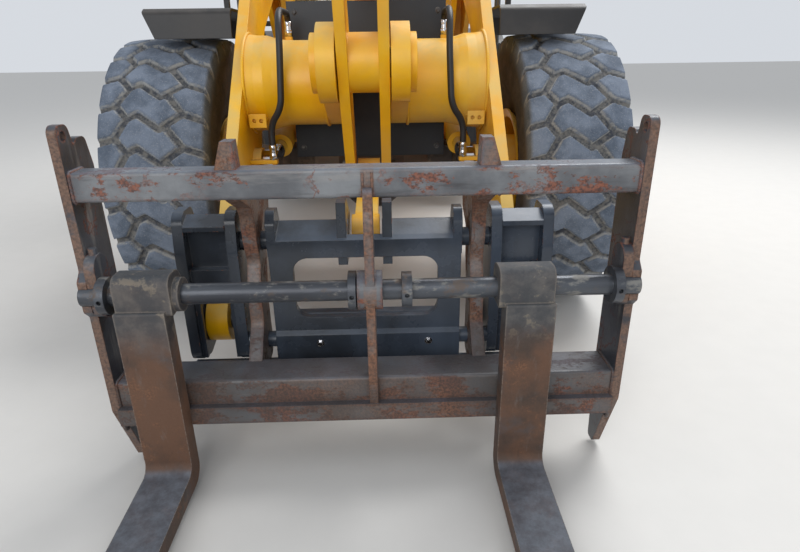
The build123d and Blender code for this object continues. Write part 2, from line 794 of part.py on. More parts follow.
hook_inner = 378
hook_outer = 426
beam_corner = 12
hook_outline = [
    (1700, 1090),
    (1750, 1030),
    (1654, 980),
    (1560, 936),
    (1535, 895),
    (1530, 800),
    (1500, 720),
    (1549, 620),
    (1550, 500),
    (1650, 380),
    (1650, 262),
    (1600, 262),
    (1560, 314),
    (1450, 328),
    (1434, 400),
    (1440, 560),
    (1388, 700),
    (1380, 800),
    (1275, 850),
    (1252, 930),
    (1330, 978),
    (1450, 988),
    (1560, 1046),
    (1640, 1092),
]
hook_radii = [0, 0, 60, 40, 40, 60, 40, 60, 60, 0, 0, 20, 20, 30, 40, 90, 60, 40, 40, 40, 60, 80, 80, 20]
frame_foot = 226
with BuildPart() as fork_frame:
    side_plate([(1675, 1012), (1765, 1012), (1765, 1102), (1675, 1102)], 0, plate_low, radii=beam_corner)
    side_plate([(1620, frame_foot), (1768, frame_foot), (1768, 390), (1620, 390)], 0, plate_low,
               radii=beam_corner)
    block((0, plate_low), (1767, tine_face_ahead - tine_thick - seat_gap), (frame_foot + 10, 300))
    side_plate(hook_outline, hook_inner, hook_outer - hook_inner, radii=hook_radii)
    for place, radius in hook_pins:
        disc(place, radius, hook_inner, hook_outer - hook_inner, mode=Mode.SUBTRACT)
    front_plate([(361, 1100), (426, 1100), (400, 1184), (365, 1184)], 1696, 58)
    mirror(about=Plane.YZ)
    side_plate([(1700, 1045), (1800, 1045), (1838, 960), (1838, 420), (1790, 300), (1700, 300), (1730, 420),
                (1730, 980)], 10, 28, radii=[0, 30, 40, 60, 0, 0, 30, 30])
    disc(shaft_at, 62, -16, 78)
    disc(shaft_at, shaft_radius, -16, 78, mode=Mode.SUBTRACT)
save(fork_frame.part, "fork_frame")

collars = [(-45, 25, 62), (122, 32, 56), (plate_low - pad_long - 29, 29, 60), (pad_long - plate_low, 29, 60)]
with BuildPart() as fork_shaft:
    disc(shaft_at, shaft_radius, -frame_half, 2 * frame_half)
    for low, long, radius in collars:
        disc(shaft_at, radius, low, long)
        front_disc(low + long / 2, shaft_at[1], 7, shaft_at[0] + radius - 16, 20, mode=Mode.SUBTRACT)
save(fork_shaft.part, "fork_shaft")

# Fork tines hang from the shaft and can be slid along it.
tine_back = tine_face_ahead - tine_thick
tine_side = [
    (tine_back, 690),
    (tine_face_ahead, 690),
    (tine_face_ahead, 95),
    (tine_tip_ahead, 40),
    (tine_tip_ahead, 28),
    (tine_back, 28),
]
for side_name, tine_x, side in (("left", left_tine_x, 1), ("right", right_tine_x, -1)):
    eye_x = tine_x - side * tine_eye_shift
    with BuildPart() as tine:
        side_plate(tine_side, tine_x - tine_width / 2, tine_width, radii=[6, 6, 40, 4, 4, 60])
        side_plate([(1732, 674), (1848, 674), (1848, 800), (1732, 800)], eye_x - tine_eye_width / 2,
                   tine_eye_width, radii=[10, 10, 36, 48])
        if side < 0:
            disc(shaft_at, 54, eye_x + tine_eye_width / 2, 20)
        disc(shaft_at, shaft_radius + pin_gap, eye_x - tine_eye_width / 2, tine_eye_width + 20,
             mode=Mode.SUBTRACT)
    save(tine.part, f"tine_{side_name}")

# Rear chassis
rear_plate_inner = 240
rear_bulkhead = -1985
rear_plate = [
    (rear_bulkhead, 560),
    (rear_bulkhead, 1250),
    (-4500, 1250),
    (-4500, 700),
    (-3500, 620),
    (-3380, pad_top),
    (-2680, pad_top),
    (-2560, 560),
]
with BuildPart() as rear_chassis:
    side_plate(rear_plate, rear_plate_inner, plate_thick)
    block((0, rear_plate_inner + plate_thick), (rear_bulkhead, rear_bulkhead + 40), (560, 1250))
    block((0, rear_plate_inner), (-2600, -2560), (600, 1250))
    block((0, rear_plate_inner), (-4500, -4460), (720, 1250))
    block((280, 560), (-3140, -2920), (pad_top, 940))
    block((280, 640), (-2140, -2040), (1150, 1440))
    block((280, 640), (-2780, -2680), (1150, 1440))
    block((280, 470), (-2380, -2280), (800, 824))
    block((280, 470), (-2380, -2280), (896, 920))
    mirror(about=Plane.YZ)
    for low, high in ((yoke_low[1] + side_gap, yoke_low[1] + side_gap + lug_plate),
                      (yoke_high[0] - side_gap - lug_plate, yoke_high[0] - side_gap)):
        yoke(low, high - low, rear_plate_inner, rear_bulkhead + 40, -1)
    with BuildSketch(Plane.XY.offset(yoke_low[0])) as pivot_low:
        with Locations((0, front_axle_y - pivot_ahead)):
            Circle(pivot_pin_radius)
    extrude(pivot_low.sketch, amount=120)
    with BuildSketch(Plane.XY.offset(yoke_high[0] - 70)) as pivot_high:
        with Locations((0, front_axle_y - pivot_ahead)):
            Circle(pivot_pin_radius)
    extrude(pivot_high.sketch, amount=120)
    for side in (1, -1):
        with BuildSketch(Plane.XY.offset(800)) as steer_pin:
            with Locations((side * steer_base[0], front_axle_y - steer_base[1])):
                Circle(25)
        extrude(steer_pin.sketch, amount=120)
save(rear_chassis.part, "rear_chassis")

hitch_bore_radius = 26
hitch_ahead = -4660
weight_front_ahead = -4300
weight_half = 1000
weight_low = 640
weight_high = 1290
jaw_half = 80
jaw_height = (820, 920)
jaw_end_ahead = -4600
weight_outline = [
    (weight_front_ahead, weight_low + 60),
    (weight_front_ahead, weight_high),
    (counterweight_back_ahead + 180, weight_high),
    (counterweight_back_ahead, weight_high - 140),
    (counterweight_back_ahead, weight_low + 160),
    (counterweight_back_ahead + 100, weight_low),
    (weight_front_ahead - 120, weight_low),
]
weight_plan = [
    (-weight_half, weight_front_ahead),
    (weight_half, weight_front_ahead),
    (weight_half, counterweight_back_ahead),
    (-weight_half, counterweight_back_ahead),
]
with BuildPart() as counterweight:
    side_plate(weight_outline, -weight_half, 2 * weight_half, radii=[0, 40, 60, 60, 60, 60, 60])
    top_plate(weight_plan, weight_low - 40, weight_high - weight_low + 150, radii=[0, 0, 170, 170],
              mode=Mode.INTERSECT)
    block((-300, 300), (-4500, weight_front_ahead + 10), (weight_low - 40, weight_high + 10),
          mode=Mode.SUBTRACT)
    block((-jaw_half, jaw_half), (counterweight_back_ahead - 10, jaw_end_ahead), jaw_height,
          mode=Mode.SUBTRACT)
    post(0, hitch_ahead, hitch_bore_radius, weight_low - 40, weight_high + 30, mode=Mode.SUBTRACT)
save(counterweight.part, "counterweight")

with BuildPart() as engine_block:
    block((-rear_plate_inner, rear_plate_inner), (-4200, -2650), (990, 1250))
    block((-rear_plate_inner, rear_plate_inner), (-4150, -3100), (1250, 1900))
save(engine_block.part, "engine_block")

# Engine hood: a hollow shell over the engine with door openings in its sides and back.
hood_outline = [
    (hood_front_ahead, hood_low),
    (hood_front_ahead, hood_top),
    (-3750, hood_top),
    (hood_back_ahead, hood_top - 200),
    (hood_back_ahead, hood_low),
]
hood_inside = [
    (hood_front_ahead - hood_wall, hood_low - 10),
    (hood_front_ahead - hood_wall, hood_top - hood_wall),
    (-3746, hood_top - hood_wall),
    (hood_back_ahead + hood_wall, hood_top - 192 - hood_wall),
    (hood_back_ahead + hood_wall, hood_low - 10),
]
hood_plan = [
    (-hood_half, hood_front_ahead),
    (hood_half, hood_front_ahead),
    (hood_half, hood_back_ahead),
    (-hood_half, hood_back_ahead),
]
hood_front_view = [
    (-hood_half, hood_low - 10),
    (hood_half, hood_low - 10),
    (hood_half, hood_top),
    (-hood_half, hood_top),
]
door_ahead = (-4450, -3050)
door_height = (1640, 2080)
door_hinge = (hood_half, door_height[1] - 0.5)
grille_half = 480
grille_height = (1380, 2000)
grille_pitch = 44
grille_slot = 24
hinge_radius = 12
hinge_recess = 17
hood_hinge_places = ((-3320, -3220), (-4300, -4200))
grille_hinge_places = tuple((low, low + 80) for low in (grille_height[0] + 70, grille_height[1] - 150))
with BuildPart() as engine_hood:
    side_plate(hood_outline, -hood_half, 2 * hood_half, radii=[0, 30, 300, 120, 0])
    top_plate(hood_plan, hood_low - 10, 1200, radii=[0, 0, 60, 60], mode=Mode.INTERSECT)
    front_plate(hood_front_view, hood_back_ahead - 10, 2000, radii=[0, 0, 62, 62], mode=Mode.INTERSECT)
    side_plate(hood_inside, -hood_half + hood_wall, 2 * (hood_half - hood_wall), mode=Mode.SUBTRACT)
    block((-hood_half - 5, hood_half + 5), door_ahead, door_height, mode=Mode.SUBTRACT)
    block((-grille_half, grille_half), (hood_back_ahead - 5, hood_back_ahead + hood_wall + 5),
          grille_height, mode=Mode.SUBTRACT)
    for low, high in hood_hinge_places:
        for side in (1, -1):
            front_disc(side * door_hinge[0], door_hinge[1], hinge_recess, low - 5, high - low + 10,
                       mode=Mode.SUBTRACT)
    for low, high in grille_hinge_places:
        post(-grille_half + 0.5, hood_back_ahead, hinge_recess, low - 5, high + 5, mode=Mode.SUBTRACT)
save(engine_hood.part, "engine_hood")
panel_gap = 6
grip_low = door_height[0] + 22
door_grip = [(hood_half, grip_low), (hood_half + 22, grip_low + 6), (hood_half + 22, grip_low + 20),
             (hood_half, grip_low + 26)]
louvre_columns = ((-4370, -3820), (-3680, -3130))
louvre_slot = 16
louvre_pitch = 42
louvre_margin = 60
louvre_room = door_height[1] - door_height[0] - 2 * louvre_margin - louvre_slot
louvre_heights = [door_height[0] + louvre_margin + row * louvre_pitch
                  for row in range(int(louvre_room / louvre_pitch) + 1)]
for side_name, side in (("left", 1), ("right", -1)):
    with BuildPart() as hood_door:
        block(sorted((side * (hood_half - hood_wall), side * hood_half)),
              (door_ahead[0] + panel_gap, door_ahead[1] - panel_gap),
              (door_height[0] + panel_gap, door_hinge[1]))
        for column in louvre_columns:
            for low in louvre_heights:
                block((-hood_half - 5, hood_half + 5), column, (low, low + louvre_slot), mode=Mode.SUBTRACT)
        for low, high in hood_hinge_places:
            front_disc(side * door_hinge[0], door_hinge[1], hinge_radius, low, high - low)
        front_plate([(side * x, z) for x, z in door_grip], -3810, 110)
    save(hood_door.part, f"hood_door_{side_name}")
grille_room = grille_height[1] - grille_height[0] - 110 - grille_slot
grille_slots = [grille_height[0] + 60 + row * grille_pitch
                for row in range(int(grille_room / grille_pitch) + 1)]
with BuildPart() as rear_grille:
    block((-grille_half + 0.5, grille_half - panel_gap), (hood_back_ahead, hood_back_ahead + hood_wall),
          (grille_height[0] + panel_gap, grille_height[1] - panel_gap))
    for x_range in ((-420, -25), (25, 420)):
        for height in grille_slots:
            block(x_range, (hood_back_ahead - 5, hood_back_ahead + hood_wall + 5),
                  (height, height + grille_slot), mode=Mode.SUBTRACT)
    for low, high in grille_hinge_places:
        post(-grille_half + 0.5, hood_back_ahead, hinge_radius, low, high)
save(rear_grille.part, "rear_grille")

# Cab: a hollow shell with its windows and the left doorway cut, under an overhanging roof.
roof_low = cab_top - 80
cab_outline = [
    (cab_front_ahead, cab_floor),
    (cab_front_ahead, 2050),
    (cab_front_ahead - 60, 3140),
    (cab_front_ahead - 60, roof_low + 20),
    (cab_back_ahead, roof_low + 20),
    (cab_back_ahead, cab_floor),
]
cab_inside = [
    (cab_front_ahead - cab_wall, cab_floor + 70),
    (cab_front_ahead - cab_wall, 2050),
    (cab_front_ahead - cab_wall - 60, 3140),
    (cab_back_ahead + cab_wall, 3140),
    (cab_back_ahead + cab_wall, cab_floor + 70),
]
roof_overhang = 50
window_low = 2080
window_top = 3060
doorway = (-2250, -1480)
doorway_height = (1560, 3060)
hinge_ahead = doorway[0] + 0.5
handle_height = doorway_height[0] + 400
hinge_long = 100
cab_hinge_lows = (doorway_height[0] + 180, doorway_height[1] - 200)
cab_hinge_places = tuple((low, low + hinge_long) for low in cab_hinge_lows)
front_window = [(-600, 1700), (600, 1700), (600, window_top), (-600, window_top)]
back_window = [(-600, window_low), (600, window_low), (600, window_top), (-600, window_top)]
side_window = [(doorway[0], window_low), (doorway[1], window_low), (doorway[1], window_top),
               (doorway[0], window_top)]
corner_window = [(-2680, window_low), (-2330, window_low), (-2330, window_top), (-2680, window_top)]
door_window = [(doorway[0] + 80, 2100), (doorway[1] - 80, 2100), (doorway[1] - 80, doorway_height[1] - 80),
               (doorway[0] + 80, doorway_height[1] - 80)]
door_outline = [(hinge_ahead, doorway_height[0] + 6), (doorway[1] - 6, doorway_height[0] + 6),
                (doorway[1] - 6, doorway_height[1] - 6), (hinge_ahead, doorway_height[1] - 6)]
doorway_outline = [(doorway[0], doorway_height[0]), (doorway[1], doorway_height[0]),
                   (doorway[1], doorway_height[1]), (doorway[0], doorway_height[1])]
window_corner = 60
with BuildPart() as cab_roof:
    top_plate([(-cab_half - roof_overhang, cab_front_ahead + roof_overhang),
               (cab_half + roof_overhang, cab_front_ahead + roof_overhang),
               (cab_half + roof_overhang, cab_back_ahead - roof_overhang),
               (-cab_half - roof_overhang, cab_back_ahead - roof_overhang)],
              roof_low, cab_top - roof_low, radii=150)
    fillet(cab_roof.faces().sort_by(Axis.Z)[-1].edges(), 45)
with BuildPart() as cab_shell:
    side_plate(cab_outline, -cab_half, 2 * cab_half, radii=[0, 200, 0, 0, 0, 60])
    side_plate(cab_inside, -cab_half + cab_wall, 2 * (cab_half - cab_wall), mode=Mode.SUBTRACT)
    add(cab_roof.part)
    front_plate(front_window, -1480, 280, radii=window_corner, mode=Mode.SUBTRACT)
    front_plate(back_window, cab_back_ahead - 10, cab_wall + 20, radii=window_corner, mode=Mode.SUBTRACT)
    side_plate(doorway_outline, cab_half - cab_wall - 5, cab_wall + 10, radii=[40, 70, 70, 0],
               mode=Mode.SUBTRACT)
    side_plate(side_window, -cab_half - 5, cab_wall + 10, radii=window_corner, mode=Mode.SUBTRACT)
    side_plate(corner_window, -cab_half - 5, 2 * cab_half + 10, radii=window_corner, mode=Mode.SUBTRACT)
    for low, high in cab_hinge_places:
        post(cab_half, hinge_ahead, hinge_recess, low - 5, high + 5, mode=Mode.SUBTRACT)
    block((-500, 500), (-2140, -2040), (1440, 1450))
    block((-500, 500), (-2780, -2680), (1440, 1450))
save(cab_shell.part, "cab_shell")

with BuildPart() as cab_door:
    side_plate(door_outline, cab_half - cab_wall, cab_wall, radii=[34, 64, 64, 0])
    side_plate(door_window, cab_half - cab_wall - 5, cab_wall + 10, radii=window_corner, mode=Mode.SUBTRACT)
    for low, high in cab_hinge_places:
        post(cab_half, hinge_ahead, hinge_radius, low, high)
    block((cab_half, cab_half + 26), (doorway[1] - 120, doorway[1] - 56),
          (handle_height, handle_height + 30))
save(cab_door.part, "cab_door")

glass = 8
glass_x = cab_half - 38
with BuildPart() as cab_glass:
    side_plate([(cab_front_ahead - 30, 1700), (cab_front_ahead - 30, 2050), (-1385, window_top),
                (-1385 - glass, window_top), (cab_front_ahead - 30 - glass, 2050),
                (cab_front_ahead - 30 - glass, 1700)], -600, 1200)
    front_plate(front_window, -1480, 280, radii=window_corner, mode=Mode.INTERSECT)
    front_plate(back_window, cab_back_ahead + 30, glass, radii=window_corner)
    side_plate(side_window, -cab_half + 30, glass, radii=window_corner)
    for low in (glass_x, -glass_x - glass):
        side_plate(corner_window, low, glass, radii=window_corner)
save(cab_glass.part, "cab_glass")
with BuildPart() as door_glass:
    side_plate(door_window, cab_half - 34, glass, radii=window_corner)
save(door_glass.part, "cab_door_glass")

seat_half = 250
seat_low = 1780
cushion_top = 1920
cushion_ahead = (-2480, -1980)
back_top = 2620
back_thick = 120
back_lean = 80
with BuildPart() as seat:
    block((90 - seat_half, seat_half - 90), (cushion_ahead[0] + 60, cushion_ahead[1] - 140),
          (cab_floor + 70, seat_low))
    block((-seat_half, seat_half), cushion_ahead, (seat_low, cushion_top))
    block((10 - seat_half, seat_half - 10),
          (cushion_ahead[0] - back_lean, cushion_ahead[0] - back_lean + back_thick), (cushion_top, back_top))
save(seat.part, "seat")
with BuildPart() as console:
    side_plate([(-1500, 1520), (-1640, 1520), (-1820, 2125), (-1750, 2150)], -70, 140)
    with BuildSketch(Plane(origin=(0, front_axle_y + 1790, 2130), x_dir=(1, 0, 0), z_dir=(0, 0.5, 1))):
        Circle(200)
        Circle(172, mode=Mode.SUBTRACT)
        Rectangle(350, 34)
        Rectangle(34, 350)
        Circle(48)
    extrude(amount=25)
save(console.part, "steering_console")

fender_angles = (25, 152)
with BuildPart() as rear_fenders:
    centre = (rear_axle_ahead, axle_height)
    arc_band(centre, 826, 850, fender_angles, 700, 570)
    arc_band(centre, 790, 850, fender_angles, 1248, 22)
    arc_band(centre, 770, 850, fender_angles, 700, 20)
    block((hood_half, 702), (-3300, -2900), (1540, 1570))
    mirror(about=Plane.YZ)
save(rear_fenders.part, "rear_fenders")

with BuildPart() as steps:
    block((640, 1130), (-2230, -1850), (1400, 1440))
    for height in (1130, 850, 570):
        block((760, 1130), (-2200, -1880), (height, height + 30))
    for ahead in (-2230, -1880):
        block((760, 1100), (ahead, ahead + 30), (540, 1400))
    mirror(about=Plane.YZ)
save(steps.part, "access_steps")

rail_radius = 15
with BuildPart() as handrails:
    tube([(-1115, -2215, 1440), (-1115, -2215, 2350), (-1115, -1865, 2350), (-1115, -1865, 1440)],
         rail_radius, 90)
    tube([(1145, -2276, 1440), (1145, -2276, 2350), (1145, -2420, 2350), (1145, -2420, 1353.2)],
         rail_radius, 60)
    block((1100, 1160), (-2291, -2200), (1440, 1448))
save(handrails.part, "handrails")

stack_top = 2930
with BuildPart() as exhaust:
    turned_up([(0, hood_top), (112, hood_top), (112, hood_top + 24), (66, hood_top + 90), (60, stack_top),
               (52, stack_top), (52, 2500), (0, 2500)], 250, -3500)
save(exhaust.part, "exhaust_stack")
with BuildPart() as intake:
    turned_up([(0, hood_top), (78, hood_top), (78, hood_top + 16), (50, hood_top + 30), (50, 2550),
               (112, 2562), (126, 2600), (126, 2672), (104, 2712), (0, 2730)], -250, -3450)
save(intake.part, "air_intake")

lamp_half = 70
with BuildPart() as work_lamps:
    for x in (-520, 520):
        lamp_face = [(x - lamp_half, roof_low - 86), (x + lamp_half, roof_low - 86),
                     (x + lamp_half, roof_low), (x - lamp_half, roof_low)]
        front_plate(lamp_face, cab_front_ahead - 44, 78, radii=[30, 30, 0, 0])
        front_plate(lamp_face, cab_back_ahead - 46, 42, radii=[30, 30, 0, 0])
save(work_lamps.part, "work_lamps")

mirror_face = [(890, 2390), (1060, 2390), (1060, 2780), (890, 2780)]
with BuildPart() as mirrors:
    block((cab_half, cab_half + 12), (-1455, -1395), (2755, 2835))
    tube([(cab_half + 10, -1425, 2795), (975, -1425, 2795), (975, -1425, 2700)], 13, 40)
    front_plate(mirror_face, -1450, 50, radii=34)
    mirror(about=Plane.YZ)
save(mirrors.part, "mirrors")
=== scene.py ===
"""Wheel loader with quick coupler and pallet forks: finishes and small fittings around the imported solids.

Metres. +Z is up and the machine faces -Y, so its left side is at +X.
"""

import functools
import json
import math

import bmesh
import bpy
import numpy as np
from mathutils import Matrix, Vector


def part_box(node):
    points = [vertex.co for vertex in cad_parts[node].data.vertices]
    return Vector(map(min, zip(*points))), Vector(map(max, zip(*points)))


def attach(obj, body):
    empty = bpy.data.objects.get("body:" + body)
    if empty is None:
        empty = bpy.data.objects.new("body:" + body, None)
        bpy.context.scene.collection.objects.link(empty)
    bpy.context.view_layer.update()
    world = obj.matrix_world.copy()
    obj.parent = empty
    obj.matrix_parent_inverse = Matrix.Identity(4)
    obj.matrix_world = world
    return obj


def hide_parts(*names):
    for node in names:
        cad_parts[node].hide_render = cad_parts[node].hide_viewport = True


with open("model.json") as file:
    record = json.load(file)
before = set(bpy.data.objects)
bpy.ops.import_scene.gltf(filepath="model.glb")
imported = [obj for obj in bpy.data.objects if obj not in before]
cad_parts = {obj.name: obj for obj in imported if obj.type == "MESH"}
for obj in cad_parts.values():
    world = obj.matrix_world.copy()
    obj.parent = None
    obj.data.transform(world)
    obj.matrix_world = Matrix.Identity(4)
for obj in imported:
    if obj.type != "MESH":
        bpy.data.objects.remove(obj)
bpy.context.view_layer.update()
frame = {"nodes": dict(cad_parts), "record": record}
nodes = frame["nodes"]

# Places taken from the frame
wheel_low, wheel_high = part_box("tyre_front_left")
rear_low, rear_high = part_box("tyre_rear_left")
front_axle_y = (wheel_low.y + wheel_high.y) / 2
rear_axle_y = (rear_low.y + rear_high.y) / 2
axle_height = (wheel_low.z + wheel_high.z) / 2
tyre_radius = (wheel_high.z - wheel_low.z) / 2
tyre_centre_x = (wheel_low.x + wheel_high.x) / 2
tyre_half_width = (wheel_high.x - wheel_low.x) / 2

# Camera, fitted to the photograph
photo_width = 800
focal_pixels = 570
camera_height = 1.435
camera_ahead = 3.44
camera_aside = 0.08
sensor_width = 36
pitch_down = math.radians(22)
turn_right = math.radians(1.3)
roll_clockwise = math.radians(0.8)

lens = bpy.data.cameras.new("photo_camera")
lens.sensor_width = sensor_width
lens.lens = sensor_width * focal_pixels / photo_width
camera = bpy.data.objects.new("photo_camera", lens)
bpy.context.collection.objects.link(camera)
camera.matrix_world = (
    Matrix.Translation((camera_aside, front_axle_y - camera_ahead, camera_height))
    @ Matrix.Rotation(-turn_right, 4, "Z")
    @ Matrix.Rotation(math.pi / 2 - pitch_down, 4, "X")
    @ Matrix.Rotation(-roll_clockwise, 4, "Z")
)
bpy.context.scene.camera = camera
bpy.context.scene.view_settings.view_transform = "Standard"


def colour(red, green, blue):
    """Linear colour of a screen colour given from 0 to 255."""
    screen = np.array([red, green, blue]) / 255
    linear = np.where(screen <= 0.04045, screen / 12.92, ((screen + 0.055) / 1.055) ** 2.4)
    return (*linear.tolist(), 1.0)


class Finish:
    """One procedural finish. Its methods lay out nodes and give back their output sockets."""

    def __init__(self, name, roughness=0.5, metallic=0.0):
        self.material = bpy.data.materials.new(name)
        self.material.use_nodes = True
        tree = self.material.node_tree
        tree.nodes.clear()
        self.tree = tree
        self.shader = self.add("ShaderNodeBsdfPrincipled")
        self.shader.inputs["Roughness"].default_value = roughness
        self.shader.inputs["Metallic"].default_value = metallic
        self.add("ShaderNodeOutputMaterial", {"Surface": self.shader.outputs[0]})
        where = self.add("ShaderNodeTexCoord")
        self.place = where.outputs["Object"]
        self.facing = where.outputs["Normal"]

    def add(self, kind, sockets=None, **settings):
        """New node with its settings, and its input sockets set or linked."""
        node = self.tree.nodes.new(kind)
        for key, value in settings.items():
            setattr(node, key, value)
        for key, value in (sockets or {}).items():
            if isinstance(value, bpy.types.NodeSocket):
                self.tree.links.new(value, node.inputs[key])
            else:
                node.inputs[key].default_value = value
        return node

    def calculate(self, operation, first, second=0.0):
        """Result of a math operation on two values."""
        return self.add("ShaderNodeMath", {0: first, 1: second}, operation=operation).outputs[0]

    def times(self, first, second):
        """Product of two values."""
        return self.calculate("MULTIPLY", first, second)

    def plus(self, first, second):
        """Sum of two values."""
        return self.calculate("ADD", first, second)

    def most(self, first, second):
        """Larger of two values."""
        return self.calculate("MAXIMUM", first, second)

    def noise(self, scale, detail, rough, stretch=(1, 1, 1)):
        """Cloudy pattern of a number of waves per metre, drawn out along an axis where stretch is small."""
        spread = self.add("ShaderNodeMapping", {"Vector": self.place, "Scale": stretch})
        sockets = {"Vector": spread.outputs[0], "Scale": scale, "Detail": detail, "Roughness": rough}
        return self.add("ShaderNodeTexNoise", sockets).outputs[0]

    def band(self, value, low, high):
        """Mask that rises smoothly from 0 at low to 1 at high."""
        sockets = {0: value, 1: low, 2: high, 3: 0.0, 4: 1.0}
        return self.add("ShaderNodeMapRange", sockets, interpolation_type="SMOOTHSTEP").outputs[0]

    def mix(self, mask, below, above):
        """Colour below where the mask is 0 and above where it is 1."""
        node = self.add("ShaderNodeMix", {"Factor": mask}, data_type="RGBA")
        for socket, value in ((node.inputs[6], below), (node.inputs[7], above)):
            if isinstance(value, bpy.types.NodeSocket):
                self.tree.links.new(value, socket)
            else:
                socket.default_value = value
        return node.outputs[2]

    def patches(self, low, high, scale, detail, rough):
        """Mask of the places where a cloudy pattern is high."""
        return self.band(self.noise(scale, detail, rough), low, high)

    def coat(self, base, mask, share, tone):
        """Base colour with a share of a tone laid over it where the mask is 1."""
        return self.mix(self.times(mask, share), base, tone)

    def axis(self, vector, name):
        """One coordinate of a vector."""
        return self.add("ShaderNodeSeparateXYZ", {0: vector}).outputs[name]

    def turned(self, name, low, high):
        """Mask of the faces whose normal has a coordinate beyond low, full at high."""
        return self.band(self.axis(self.facing, name), low, high)

    def inside(self, name, low, high):
        """Mask of the places whose coordinate lies between two values."""
        value = self.axis(self.place, name)
        return self.times(self.band(value, low - soft_edge, low), self.band(value, high + soft_edge, high))

    def rounded(self, radius):
        """Normal that rounds the edges by a radius."""
        return self.add("ShaderNodeBevel", {"Radius": radius}, samples=4).outputs[0]

    def edges(self, radius, reach):
        """Mask of the edges, where the rounded normal departs from the true one."""
        true_normal = self.add("ShaderNodeNewGeometry").outputs["True Normal"]
        sockets = {0: self.rounded(radius), 1: true_normal}
        agreement = self.add("ShaderNodeVectorMath", sockets, operation="DOT_PRODUCT").outputs["Value"]
        flat = 0.98
        return self.band(agreement, flat, 1.0 - reach)

    def attribute(self, name):
        """Value that a piece's mesh carries at its points."""
        return self.add("ShaderNodeAttribute", attribute_name=name).outputs["Fac"]

    def set(self, **sockets):
        """Links or sets sockets of the shader, named with underscores for spaces."""
        for key, value in sockets.items():
            socket = self.shader.inputs[key.replace("_", " ")]
            if isinstance(value, bpy.types.NodeSocket):
                self.tree.links.new(value, socket)
            else:
                socket.default_value = value

    def relief(self, height, depth, radius=0.0):
        """Bump of a depth in metres, over edges that are rounded where radius isn't 0."""
        sockets = {"Height": height, "Distance": depth, "Strength": 1.0}
        if radius:
            sockets["Normal"] = self.rounded(radius)
        self.set(Normal=self.add("ShaderNodeBump", sockets).outputs[0])


# Directions that a grain is drawn out along
across_machine = (0.12, 1, 1)
upright = (1, 1, 0.12)
along_tine = (1, 1, 0.3)

# Tones of wear and dirt, a darker tone for low places, and a painted sky reflection for top faces: single
# ones, and pairs that a fine pattern mixes
bright_rub = colour(150, 146, 142)
dark_rub = colour(42, 38, 38)
# Darker tone for the frame's low places
low_dark_tone = colour(54, 50, 48)
bright_scrape = colour(112, 106, 102)
dark_scrape = colour(58, 44, 38)
bare_forging = colour(74, 76, 80)
forging_edge = colour(152, 142, 132)
eye_edge = colour(150, 140, 128)
eye_scuff = colour(136, 126, 110)
rubbed_bar = colour(142, 140, 134)
dry_bar = colour(112, 92, 74)
speck = colour(160, 162, 164)
groove_rim = colour(168, 164, 154)
dry_mud = colour(112, 98, 84)
glass_dust = colour(190, 188, 180)
paint_rust = (colour(74, 42, 28), colour(142, 82, 50))
plate_rust = (colour(70, 38, 28), colour(138, 78, 50))
plate_brown = (colour(84, 62, 48), colour(132, 98, 76))
ahead_brown = (colour(78, 60, 50), colour(124, 94, 76))
forging_rust = (colour(86, 58, 42), colour(134, 94, 68))
# Painted sky reflection: the blue-grey pair that the tines' top faces take
sky_reflection_tops = (colour(74, 78, 86), colour(100, 107, 117))
eye_paint = (colour(62, 66, 70), colour(92, 90, 88))
rubber = (colour(74, 84, 98), colour(108, 118, 133))
groove_floor = (colour(58, 62, 70), colour(112, 110, 106))
side_mud = (colour(58, 53, 50), colour(90, 81, 72))

# How much an edge adds to a pattern, how much rust lowers the pattern's limit, and how far a mask's edge runs
edge_gain = 0.16
rust_gain = 0.26
soft_edge = 0.004


def eased(grain, ease):
    """Grain that is drawn out less, by a share."""
    return tuple(ease + (1 - ease) * share for share in grain)


def painted_steel(name, paint, shade, overlay_colour, rust, dust, gloss):
    """Painted plate: cloudy paint with runs down its sides, dust on what faces up, and rusty chips. Where the
    colour laid on what faces up is a light blue-grey, it is a painted sky reflection rather than dust.

    Rust and dust are shares of what they may cover, the dust share also being the sky reflection's, and gloss
    is the clean paint's roughness.
    """
    look = Finish(name)
    edge_radius = 0.004
    broad = look.noise(2.5, 5, 0.55)
    runs = look.noise(9, 4, 0.6, upright)
    fine = look.noise(90, 3, 0.6)
    base = look.mix(look.band(broad, 0.35, 0.68), shade, paint)
    base = look.coat(base, look.band(runs, 0.52, 0.72), 0.45, shade)
    # Tone on what faces up and in broad patches: dust, and for the coupler's light blue-grey a painted sky
    # reflection
    top_dust_and_sky = look.times(look.turned("Z", 0.1, 0.85), look.patches(0.3, 0.62, 5, 6, 0.6))
    film = look.times(look.patches(0.42, 0.7, 1.7, 6, 0.65), 0.55)
    dust_and_sky = look.times(look.most(top_dust_and_sky, film), dust)
    base = look.mix(dust_and_sky, base, overlay_colour)
    chips = look.plus(look.noise(24, 8, 0.68), look.times(look.edges(edge_radius * 1.6, 0.25), edge_gain))
    chipped = look.band(chips, 0.80 - rust * rust_gain, 0.83 - rust * rust_gain)
    base = look.mix(chipped, base, look.mix(look.patches(0.4, 0.62, 70, 4, 0.6), *paint_rust))
    height = look.calculate("SUBTRACT", look.times(fine, 0.25), look.times(chipped, 0.5))
    look.set(Base_Color=base, Roughness=look.plus(gloss, look.times(look.most(chipped, dust_and_sky), 0.45)))
    look.relief(height, 0.0012, edge_radius)
    return look.material


